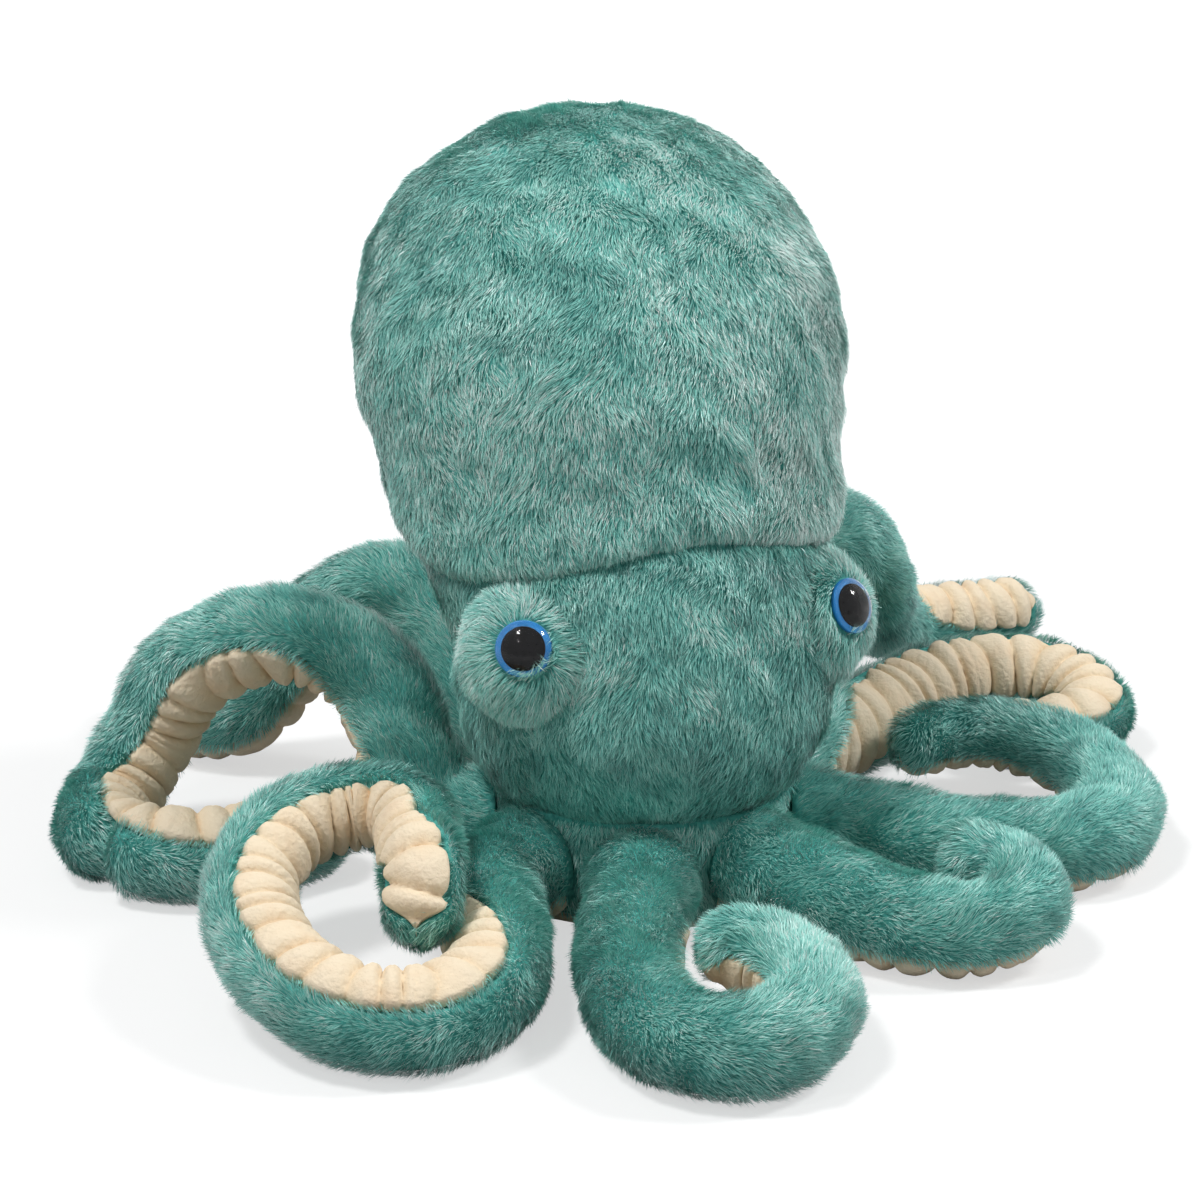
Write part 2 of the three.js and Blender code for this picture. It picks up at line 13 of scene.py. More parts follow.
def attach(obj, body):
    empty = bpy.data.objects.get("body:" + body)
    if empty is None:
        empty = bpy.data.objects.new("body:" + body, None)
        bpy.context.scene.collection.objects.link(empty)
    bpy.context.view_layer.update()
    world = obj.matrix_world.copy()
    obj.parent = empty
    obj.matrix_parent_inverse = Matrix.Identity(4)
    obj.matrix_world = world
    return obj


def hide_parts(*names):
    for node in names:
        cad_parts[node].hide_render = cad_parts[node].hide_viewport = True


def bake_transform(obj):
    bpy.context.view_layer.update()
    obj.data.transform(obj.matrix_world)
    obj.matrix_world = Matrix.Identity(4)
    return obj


bl_info = {
    "name": "Plush octopus",
    "version": (1, 0, 0),
    "blender": (4, 5, 0),
    "location": "View3D > Sidebar > Octopus",
    "description": "Builds a plush octopus with mesh pile round its packed frame",
    "category": "Object",
}

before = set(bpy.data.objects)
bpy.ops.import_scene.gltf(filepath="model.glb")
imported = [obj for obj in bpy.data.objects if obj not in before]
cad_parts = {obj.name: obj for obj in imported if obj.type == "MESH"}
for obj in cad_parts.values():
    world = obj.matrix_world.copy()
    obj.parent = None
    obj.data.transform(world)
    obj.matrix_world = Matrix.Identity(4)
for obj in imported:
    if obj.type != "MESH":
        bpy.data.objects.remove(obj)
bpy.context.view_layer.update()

MM = 0.001
TURN = 2 * np.pi
UP = np.array([0.0, 0.0, 1.0])

# The sizes that the solids were made with
ARM_DIAMETER = 33 * MM
ARM_ROOT_DIAMETER = 37 * MM
ARM_ROOT_TAPER = 26 * MM
ROOT_STRAIGHT_SHARE = 0.22
TIP_TAPER_POWER = 1.5
STRIP_WALL = 4.4 * MM
PUCKER_SWELL = 1.3 * MM
SEAM_GAP = 0.4 * MM
SEAT_GAP = 0.3 * MM
FLOOR_GAP = 0.4 * MM
BODY_HEIGHT = 253 * MM
HEAD_RADIUS = 82 * MM
HEAD_LEAN = 48 * MM
FACE_RADIUS = 63 * MM
BROW_HEIGHT = 121 * MM
PANEL_THICKNESS = 2.6 * MM
MOUND_RADIUS = 24 * MM
MOUND_REACH = 51 * MM
MOUND_HEIGHT = 93 * MM
MOUND_BEARING = 66
GAZE_BEARING = 30
GAZE_RISE = 22
LENS_RADIUS = 9.2 * MM
LENS_RISE = 4.6 * MM
IRIS_THICKNESS = 1.5 * MM
PUPIL_RADIUS = 7.2 * MM
PUPIL_THICKNESS = 0.6 * MM
ARM_COUNT = 8
FOOT_FLAT = (ARM_ROOT_DIAMETER / 2 + SEAM_GAP) / np.sin(np.pi / ARM_COUNT)
ARM_RING = FOOT_FLAT + SEAT_GAP
ROOT_HEIGHT = ARM_ROOT_DIAMETER / 2 + FLOOR_GAP
FOOT_HEIGHT = ROOT_HEIGHT + ARM_ROOT_DIAMETER / 2 + SEAM_GAP
STRIP_HALF_ANGLE = np.radians(60)
STRIP_EDGE_CLEARANCE = np.radians(1.6)
ROUTE_DIVISIONS = 300

# Each arm's bearing, its tip's share of the diameter and its route as the solids have it: across, away from
# the face and lift, in arm diameters, then the way that its strip faces
ARM_ROUTES = {
    "front_left": (-22.5, 0.82, [
        [-1.1, -2.5, 0, 0.6, -0.2, -0.8], [-1.5, -3.4, 0, 0.7, -0.3, -0.7],
        [-1.65, -4.25, 0, 0.8, 0, -0.6], [-1.45, -4.95, 0, 0.5, 0.6, -0.7],
        [-0.9, -5.2, 0, 0.1, 0.7, -0.7], [-0.3, -4.85, 0.05, -0.5, 0.5, -0.6],
        [0, -4.2, 0.05, -0.7, 0.3, -0.7], [-0.12, -3.52, 0.1, -0.7, -0.3, -0.7],
        [-0.66, -3.12, 0.2, -0.3, -0.7, -0.7],
    ]),
    "front_right": (22.5, 0.7, [
        [0.9, -2.15, 0.05, 0, 0, -1], [1.2, -2.7, 0, 0, 0, -1], [1.6, -3.2, 0, 0, 0, -1],
        [2.1, -3.45, 0, 0, 0, -1], [2.5, -3.45, 0.1, 0, 0, -1], [2.75, -3.2, 0.2, 0, 0, -1],
        [2.75, -2.8, 0.28, 0, 0, -1], [2.5, -2.55, 0.35, 0, 0, -1], [2.2, -2.45, 0.35, 0, 0, -1],
    ]),
    "side_left": (-67.5, 0.74, [
        [-2.1, -1.15, 0.05, -0.7, 0.3, -0.7], [-2.3, -1.8, 0, -0.9, 0.4, -0.1],
        [-2.5, -2.55, 0, -0.9, 0.3, 0.5], [-2.9, -3.25, 0, -0.5, 0.2, 0.9], [-3.55, -3.55, 0, 0, 0.1, 1],
        [-4.2, -3.35, 0.05, 0.3, -0.1, 0.9], [-4.6, -2.7, 0.2, 0.4, -0.6, 0.7],
        [-4.7, -1.8, 0.4, 0.3, -0.8, 0.5], [-4.45, -1, 0.6, 0.2, -0.9, 0.3], [-3.85, -0.4, 0.8, 0, -1, 0],
        [-3.15, -0.35, 0.9, -0.3, -0.9, 0], [-2.8, -0.85, 0.95, -0.7, -0.7, 0.2],
        [-2.98, -1.58, 0.97, -0.8, -0.5, 0.4], [-3.11, -2.14, 0.93, -0.5, -0.5, 0.7],
        [-3.34, -2.62, 0.45, -0.3, -0.6, 0.7],
    ]),
    "side_right": (67.5, 0.64, [
        [2.05, -0.95, 0, 0, 0, -1], [2.6, -1.5, 0, 0, 0, -1], [3.3, -1.8, 0, 0, 0, -1],
        [4.1, -1.85, 0, 0, 0, -1], [4.65, -1.45, 0, 0, 0, -1], [4.98, -0.7, 0, 0, 0, -1],
        [4.95, 0.1, 0.12, 0, 0, -1], [4.42, 0.62, 0.3, 0, 0, -1], [3.78, 0.8, 0.34, 0, 0, -1],
        [3.15, 0.62, 0.34, 0, 0, -1],
    ]),
    "rear_left": (-112.5, 0.88, [
        [-1.95, 0.9, 0.15, -0.4, 0.2, -0.9], [-2.15, 1.25, 0.65, -0.7, 0.3, -0.7],
        [-2.25, 1.7, 1.25, -0.5, 0.6, -0.6], [-2.6, 2, 1.6, -0.4, 0.2, -0.9],
        [-3.1, 2.2, 1.76, -0.2, -0.4, -0.9], [-3.65, 2.45, 1.62, 0.1, -0.8, -0.6],
        [-4.1, 2.7, 1.25, 0.4, -0.9, -0.2], [-4.45, 2.8, 0.6, 0.6, -0.8, 0.1],
        [-4.9, 2.55, 0.1, 0.8, -0.2, 0.5], [-5.2, 1.95, 0, 0.9, 0, 0.5], [-4.95, 1.3, 0, 0.5, 0.1, 0.9],
        [-4.3, 1, 0, 0.1, 0, 1], [-3.55, 1.1, 0, 0, 0, 1], [-2.85, 1.3, 0, 0, 0, 1],
    ]),
    "rear_right": (112.5, 0.73, [
        [2.25, 1.15, 0.1, 0.4, -0.6, -0.7], [3.15, 1.75, 0.05, 0.3, -0.7, 0.6],
        [4.1, 2.3, 0.1, -0.1, -0.7, 0.7], [4.9, 2.5, 0.15, -0.1, -0.7, 0.7],
        [5.5, 2.35, 0.15, -0.2, -0.7, 0.6], [5.85, 2, 0.08, -0.3, -0.4, 0.8], [5.9, 1.5, 0, -0.1, 0, 1],
        [5.55, 1.15, 0, 0, 0, 1], [5.05, 1.15, 0, 0, 0, 1], [4.55, 1.35, 0, 0, 0, 1],
    ]),
    "back_left": (-157.5, 0.85, [
        [-0.9, 2.45, 0.45, -0.3, 0.4, -0.9], [-1.02, 3.25, 1.18, -0.4, 0.4, -0.8],
        [-1.38, 3.8, 1.52, 0, 0, -1], [-1.85, 4.1, 1.34, 0.5, -0.2, -0.9],
        [-2.45, 4.2, 0.75, 0.8, -0.3, -0.5], [-2.95, 4.35, 0.2, 0.6, -0.2, -0.8],
        [-3.35, 4.75, 0.05, 0, 0, -1], [-3.45, 5.3, 0, 0, 0, -1], [-3.25, 5.8, 0, 0, 0, -1],
        [-2.85, 6.15, 0, 0, 0, -1],
    ]),
    "back_right": (157.5, 0.76, [
        [1.1, 2.15, 0.4, 0.6, 0.1, -0.8], [1.8, 2.4, 1.15, 0.8, -0.1, -0.6],
        [2.42, 2.58, 1.75, 0.5, -0.2, -0.9], [3.05, 2.72, 1.98, 0, 0, -1],
        [3.65, 3.02, 1.66, -0.7, -0.1, -0.7], [4.1, 3.48, 1.05, -0.9, 0, 0.1],
        [4.45, 3.98, 0.48, -0.6, 0.2, 0.6], [4.95, 4.4, 0.18, 0, -0.2, 1],
        [5.75, 4.55, 0.1, 0.1, -0.6, 0.8], [6.72, 4.62, 0.1, 0.1, -0.7, 0.7],
    ]),
}

# Where a cover is folded in: the row of the arm's route and the depth
ARM_FOLDS = {"rear_left": (9.6, 9 * MM)}
NO_FOLD = (0, 0.0)
FOLD_WIDTH = 5 * MM

# Head and face profiles as the solids have them: height, radius and lean, as shares
HEAD_SHARES = [
    [0, 0.79, 0.52], [0.03, 0.835, 0.54], [0.09, 0.885, 0.59], [0.2, 0.935, 0.7], [0.41, 1.01, 0.885],
    [0.6, 0.955, 0.96], [0.77, 0.8, 1], [0.88, 0.61, 1], [0.955, 0.395, 1], [1, 0, 1],
]
FACE_SHARES = [
    [0, 0.79, 0], [0.08, 0.87, 0], [0.2, 0.95, 0.01], [0.4, 1, 0.03], [0.6, 1, 0.1],
    [0.8, 1.01, 0.24], [0.93, 1.01, 0.39], [1, 0.98, 0.47],
]
PROFILE_ROWS = 400

# How far the filled fabric lies inside the solids, so that the pile ends near their surface
SKIN_INSET = 0.5 * MM
MOUND_INSET = 0.6 * MM


# Sizes and colours that a user would change
def length_setting(name, description, default):
    return FloatProperty(name=name, description=description, default=default, subtype="DISTANCE", unit="LENGTH")


def colour_setting(name, description, *default):
    return FloatVectorProperty(name=name, description=description, default=default, subtype="COLOR")


class PlushSettings(bpy.types.PropertyGroup):
    """The long teal pile."""
    head_pile: length_setting("Head pile", "Length of the pile on the head and face", 4.4 * MM)
    arm_pile: length_setting("Arm pile", "Length of the pile on the arms", 4.8 * MM)
    mound_pile: length_setting("Eye pile", "Length of the pile round the eyes", 5.6 * MM)
    strand_width: length_setting("Strand width", "Width of a lock of fibres at its middle", 0.25 * MM)
    head_density: FloatProperty(name="Head density", description="Locks in a square millimetre of the head",
                                default=3.75)
    arm_density: FloatProperty(name="Arm density", description="Locks in a square millimetre of an arm",
                               default=2.65)
    clump: length_setting("Clump size", "How far apart the pile's tufts stand", 2.5 * MM)
    # The fibres' tones differ at random. The shaded, light and frost tones also paint light on the pile: shade
    # where it lies in shade, light where it is lit, and glints on its silver fibres and tips.
    deep: colour_setting("Deep teal", "The darkest fibres", 0.035, 0.24, 0.215)
    shade: colour_setting("Shaded teal", "Fibres that lie in shade", 0.11, 0.48, 0.425)
    teal: colour_setting("Teal", "Most of the fibres", 0.25, 0.72, 0.63)
    light: colour_setting("Light teal", "Fibres that catch the light", 0.47, 0.86, 0.78)
    frost: colour_setting("Frost", "The silvery fibre tips", 0.84, 0.96, 0.92)


class StripSettings(bpy.types.PropertyGroup):
    """The cream strips under the arms."""
    pitch: length_setting("Pucker pitch", "From one pucker to the next", 10.5 * MM)
    depth: length_setting("Pucker depth", "How deep the creases are between puckers", 4.2 * MM)
    cream: colour_setting("Cream", "The velour on the puckers", 0.87, 0.735, 0.55)
    # The warm cream lies in slow patches; the darker, browner creases are painted shade, made in the velour.
    warm: colour_setting("Warm cream", "The velour in the creases", 0.82, 0.62, 0.42)


class EyeSettings(bpy.types.PropertyGroup):
    """The moulded eyes."""
    iris: colour_setting("Iris", "The blue disc", 0.012, 0.19, 0.50)
    pupil: colour_setting("Pupil", "The black disc", 0.002, 0.002, 0.003)
    sides: IntProperty(name="Sides", description="How finely the eye is turned", default=64, min=16)


class StageSettings(bpy.types.PropertyGroup):
    """Camera, lamps and floor."""
    azimuth: FloatProperty(name="Azimuth", description="The camera's direction, in degrees", default=-21.7)
    elevation: FloatProperty(name="Elevation", description="The camera's height, in degrees", default=23.0)
    distance: length_setting("Distance", "From the camera to the foot", 1.5)
    lens: FloatProperty(name="Lens", description="Focal length in millimetres", default=132.35)
    aim_across: length_setting("Aim across", "From the foot to the view's middle, to the right", -15.3 * MM)
    aim_up: length_setting("Aim up", "From the foot to the view's middle, up the view", 92.5 * MM)


# Small helpers
def unit(vectors):
    """Each vector divided by its own length."""
    return vectors / np.maximum(np.linalg.norm(vectors, axis=-1, keepdims=True), 1e-12)


def dot(a, b):
    """The dot products along the last axis, kept as a column."""
    return (a * b).sum(-1, keepdims=True)


def heading(degrees):
    """A direction in the floor plane: 0 is straight ahead, towards -Y, and positive is towards +X."""
    angle = np.radians(degrees)
    return np.array([np.sin(angle), -np.cos(angle), 0.0])


def aimed(bearing, rise):
    """A direction at a bearing and raised above the floor plane, both in degrees."""
    rise = np.radians(rise)
    return heading(bearing) * np.cos(rise) + UP * np.sin(rise)


def waves(points, length, seed, count=7):
    """Smooth noise from about -1 to 1: the sum of a few sine waves of about the given length, each in its
    own direction and phase."""
    rng = np.random.default_rng(seed)
    directions = unit(rng.normal(size=(count, 3)))
    numbers = TURN / (length * rng.uniform(0.7, 1.4, count))
    phases = rng.uniform(0, TURN, count)
    total = np.sin((points @ directions.T) * numbers + phases).sum(-1)
    return total * np.sqrt(2 / count) * 0.7


def smooth(x):
    """From 0 to 1 with level ends: 3x squared less 2x cubed."""
    x = np.clip(x, 0, 1)
    return x * x * (3 - 2 * x)


def set_mesh(name, points, corners, starts, uvs=None, normals=None, flat=False):
    """A mesh object from whole arrays: points, the corner list of all faces, and where each face starts. The
    normals, one to a point, take the place of those that the faces would give."""
    mesh = bpy.data.meshes.new(name)
    mesh.vertices.add(len(points))
    mesh.vertices.foreach_set("co", points.astype(np.float32).ravel())
    mesh.loops.add(len(corners))
    mesh.loops.foreach_set("vertex_index", corners.astype(np.int32))
    mesh.polygons.add(len(starts))
    mesh.polygons.foreach_set("loop_start", starts.astype(np.int32))
    mesh.update(calc_edges=True)
    mesh.polygons.foreach_set("use_smooth", np.full(len(starts), not flat))
    if uvs is not None:
        layer = mesh.uv_layers.new(name="OFBake", do_init=False)
        layer.uv.foreach_set("vector", uvs.astype(np.float32).ravel())
    if normals is not None:
        given = mesh.attributes.new("custom_normal", "FLOAT_VECTOR", "POINT")
        given.data.foreach_set("vector", normals.astype(np.float32).ravel())
    piece = bpy.data.objects.new(name, mesh)
    bpy.context.scene.collection.objects.link(piece)
    return piece


def tube_mesh(name, rings, values=None):
    """A closed skin over a row of rings that run the same way round: a quad between each four neighbours,
    and a fan of triangles at each end. Values, one to a point, go into the map's first coordinate."""
    count, sides = rings.shape[:2]
    here = np.arange(sides)
    there = (here + 1) % sides
    row = np.arange(count - 1)[:, None] * sides
    quads = np.stack([row + here, row + there, row + sides + there, row + sides + here], -1).ravel()
    first, last, base = count * sides, count * sides + 1, (count - 1) * sides
    start_fan = np.stack([np.full(sides, first), there, here], -1).ravel()
    end_fan = np.stack([np.full(sides, last), base + here, base + there], -1).ravel()
    points = np.vstack([rings.reshape(-1, 3), rings[0].mean(0), rings[-1].mean(0)])
    corners = np.concatenate([quads, start_fan, end_fan])
    starts = np.concatenate([np.arange(len(quads) // 4) * 4, len(quads) + np.arange(2 * sides) * 3])
    uvs = None
    if values is not None:
        by_point = np.append(values.ravel(), [values[0].mean(), values[-1].mean()])
        uvs = np.stack([by_point[corners], np.full(len(corners), 0.5)], -1)
    return set_mesh(name, points, corners, starts, uvs)


def surface_grid(surface, us, vs):
    """The surface's points at every pair of the two parameters."""
    u, v = np.meshgrid(us, vs, indexing="ij")
    return surface(u.ravel(), v.ravel()).reshape(len(us), len(vs), 3)


def round_angles(count):
    """Angles spaced evenly round a turn."""
    return np.linspace(0, TURN, count, endpoint=False)


# The pile: locks of fibres as tapered bent blades
AREA_CELLS = (161, 121)          # limits of the cells that a surface's area is summed over
SKIN_SHARE = 0.45                # how much of a lock's light follows the skin under it
ROOT_SINK = 0.3 * MM
LOWEST_LOCK = 0.3 * MM           # above the floor
LOWER_LENGTH = 0.45              # the share of a lock below its bend
TWIST = 18                       # degrees, as the other spreads of angles
LEAN_SPREAD = 8
LOWER_LEANS = (8, 80)
UPPER_LEANS = (-20, 70)
TUFT_PULL = 0.36
TONE_STEP = 0.012                # across a lock, so that its map has a width
CUBE_PRIMES = (73856093, 19349663, 83492791)
JITTER_PRIMES = (31, 577, 7919)
JITTER_STEPS = 104729


def cell_areas(surface, u_range, v_range):
    """The two parameters cut into cells, with each cell's area: half the length of the cross product of its
    diagonals."""
    us, vs = np.linspace(*u_range, AREA_CELLS[0]), np.linspace(*v_range, AREA_CELLS[1])
    grid = surface_grid(surface, us, vs)
    diagonals = np.cross(grid[1:, 1:] - grid[:-1, :-1], grid[1:, :-1] - grid[:-1, 1:])
    return us, vs, np.linalg.norm(diagonals, axis=-1) / 2


def scatter(us, vs, areas, count, rng):
    """Places spread evenly by area: cells of the two parameters are drawn by their area, and each place is
    at random inside its cell."""
    total = np.cumsum(areas)
    picks = (np.arange(count) + rng.random(count)) / count * total[-1]
    cell = np.minimum(np.searchsorted(total, picks), areas.size - 1)
    i, j = cell // (len(vs) - 1), cell % (len(vs) - 1)
    u = us[i] + rng.random(count) * (us[1] - us[0])
    v = vs[j] + rng.random(count) * (vs[1] - vs[0])
    return u, v


def surface_frame(surface, u, v):
    """Point, outward normal and the two unit directions in which the parameters grow, by differences."""
    step = 1e-3
    along = unit(surface(u + step, v) - surface(u - step, v))
    around = unit(surface(u, v + step) - surface(u, v - step))
    return surface(u, v), unit(np.cross(around, along)), along, around


def tufts(points, size):
    """For each point the middle of its nearest tuft, and a random number for that tuft. Tufts stand one to a
    cube of the given size, each jittered inside its cube by a hash of the cube's place."""
    cube = np.floor(points / size).astype(np.int64)
    best = np.full(len(points), np.inf)
    middle = np.zeros_like(points)
    chance = np.zeros(len(points))
    for shift in np.ndindex(3, 3, 3):
        near = cube + np.array(shift) - 1
        x, y, z = (near[:, axis] * prime for axis, prime in enumerate(CUBE_PRIMES))
        mixed = x ^ y ^ z
        jitter = np.stack([((mixed * prime) % JITTER_STEPS) / JITTER_STEPS for prime in JITTER_PRIMES], -1)
        spot = (near + jitter) * size
        away = ((spot - points) ** 2).sum(-1)
        closer = away < best
        best[closer] = away[closer]
        middle[closer] = spot[closer]
        chance[closer] = jitter[closer, 2]
    return middle, chance


def kites(name, roots, normals, flows, lengths, leans, tones, width, rng):
    """One mesh of bent kites: a corner at the root, two at the bend and one at the tip. The lower part rises
    at the first lean above the surface and the upper part at the second. A kite takes the light partly as
    its own face does and partly as the skin under it does, so that the pile reads as one soft surface. The
    map holds the tone across and the height on the kite upward."""
    count = len(roots)
    rise = [np.radians(lean)[:, None] for lean in leans]
    lower, upper = (np.cos(angle) * flows + np.sin(angle) * normals for angle in rise)
    twist = np.radians(rng.normal(0, TWIST, count))[:, None]
    across = unit(np.cross(lower, normals))
    side = np.cos(twist) * across + np.sin(twist) * np.cross(lower, across)
    half = (width * rng.uniform(0.7, 1.3, count) / 2)[:, None] * side
    reach = lengths[:, None]
    root = roots - ROOT_SINK * normals
    middle = root + LOWER_LENGTH * reach * lower
    tip = middle + (1 - LOWER_LENGTH) * reach * upper
    points = np.stack([root, middle - half, middle + half, tip], 1)
    points[..., 2] = np.maximum(points[..., 2], LOWEST_LOCK)
    facing = np.cross(side, lower)
    facing = facing * np.sign(dot(facing, normals) + 1e-9)
    lit = np.repeat(unit((1 - SKIN_SHARE) * facing + SKIN_SHARE * normals), 4, axis=0)
    corners = (np.arange(count)[:, None] * 4 + np.array([0, 2, 1, 1, 2, 3])).ravel()
    starts = np.arange(2 * count) * 3
    left = tones * 0.985
    right = left + TONE_STEP
    centre = (left + right) / 2
    low, mid, high = np.zeros(count), np.full(count, LOWER_LENGTH), np.ones(count)
    uvs = np.stack([centre, low, right, mid, left, mid, left, mid, right, mid, centre, high], -1)
    return set_mesh(name, points.reshape(-1, 3), corners, starts, uvs.reshape(-1, 2), lit)


def pile(name, surface, u_range, v_range, settings, density, length, flow, seed, frost_light_and_shade, leans, keep=None):
    """The pile on a surface. A lock's flow is the given one, bent by slow waves and drawn to its tuft's middle.
    Its tone is a mid value with slow patches, a share for its tuft and a share of its own.
    frost_light_and_shade lifts the tone where the pile is lit, as painted light, and lowers it where it lies in
    shade, as painted shade. It also says how many fibres turn silver; these are partly frosted fibres and
    partly painted glints."""
    rng = np.random.default_rng(seed)
    us, vs, areas = cell_areas(surface, u_range, v_range)
    count = int(areas.sum() / MM ** 2 * density)
    u, v = scatter(us, vs, areas, count, rng)
    points, normals, along, around = surface_frame(surface, u, v)
    if keep is not None:
        kept = keep(points)
        points, normals, along, around, v = (a[kept] for a in (points, normals, along, around, v))
        count = len(points)
    middles, chance = tufts(points, settings.clump)

    def flat(vectors):
        """The part of each vector that lies in the surface."""
        return vectors - dot(vectors, normals) * normals

    def spread(size):
        """A normal draw for each lock."""
        return rng.normal(0, size, count)

    flows = unit(flat(flow(points, along, around, v)))
    swirl = 0.40 * waves(points, 42 * MM, 61) + 0.38 * waves(points, 15 * MM, 62) + spread(0.22)
    flows = flows + swirl[:, None] * np.cross(normals, flows)
    flows = unit(flows + TUFT_PULL * flat(middles - points) / settings.clump)
    flows = unit(flat(flows))
    lengths = length * rng.uniform(0.7, 1.15, count) * (1 + 0.12 * waves(points, 22 * MM, 63))
    lift = 11 * waves(points, 16 * MM, 64) + 10 * (chance - 0.5)
    low_lean = np.clip(leans[0] + lift + spread(LEAN_SPREAD), *LOWER_LEANS)
    high_lean = np.clip(leans[1] + lift + spread(LEAN_SPREAD), *UPPER_LEANS)
    # Painted light and shade: the frost function lifts the tone where the pile is lit and lowers it where it
    # lies in shade.
    silver_light_and_shade = frost_light_and_shade(points)
    tones = 0.45 + 0.24 * silver_light_and_shade + 0.08 * waves(points, 38 * MM, 65) + 0.11 * waves(points, 11 * MM, 66)
    tones += 0.20 * (chance - 0.5) + spread(0.13)
    # Silver fibres: partly frosted fibres of the plush, partly painted glints.
    silver = rng.random(count) < silver_light_and_shade
    tones = np.clip(np.where(silver, tones + rng.uniform(0.2, 0.7, count), tones), 0, 1)
    piece = kites(name, points, normals, flows, lengths, (low_lean, high_lean), tones,
                  settings.strand_width, rng)
    dress(piece, shared("teal_pile", pile_material, settings), "teal_plush")
    return piece


# Routes of the arms
def curve_at(points, places, centripetal):
    """A smooth curve through the points: on each stretch a cubic with the end slopes of Catmull and Rom's
    rule. The centripetal kind spaces its knots by the square root of the distance."""
    count = len(points) - 1
    padded = np.vstack([2 * points[0] - points[1], points, 2 * points[-1] - points[-2]])
    spot = np.clip(places, 0, 1) * count
    index = np.minimum(spot.astype(int), count - 1)
    w = (spot - index)[:, None]
    p0, p1, p2, p3 = (padded[index + step] for step in range(4))
    if centripetal:
        pairs = ((p0, p1), (p1, p2), (p2, p3))
        d0, d1, d2 = (np.sqrt(np.linalg.norm(b - a, axis=-1))[:, None] for a, b in pairs)
        t1 = ((p1 - p0) / d0 - (p2 - p0) / (d0 + d1) + (p2 - p1) / d1) * d1
        t2 = ((p2 - p1) / d1 - (p3 - p1) / (d1 + d2) + (p3 - p2) / d2) * d1
    else:
        t1, t2 = (p2 - p0) / 2, (p3 - p1) / 2
    return (p1 + t1 * w + (3 * (p2 - p1) - 2 * t1 - t2) * w ** 2
            + (2 * (p1 - p2) + t1 + t2) * w ** 3)


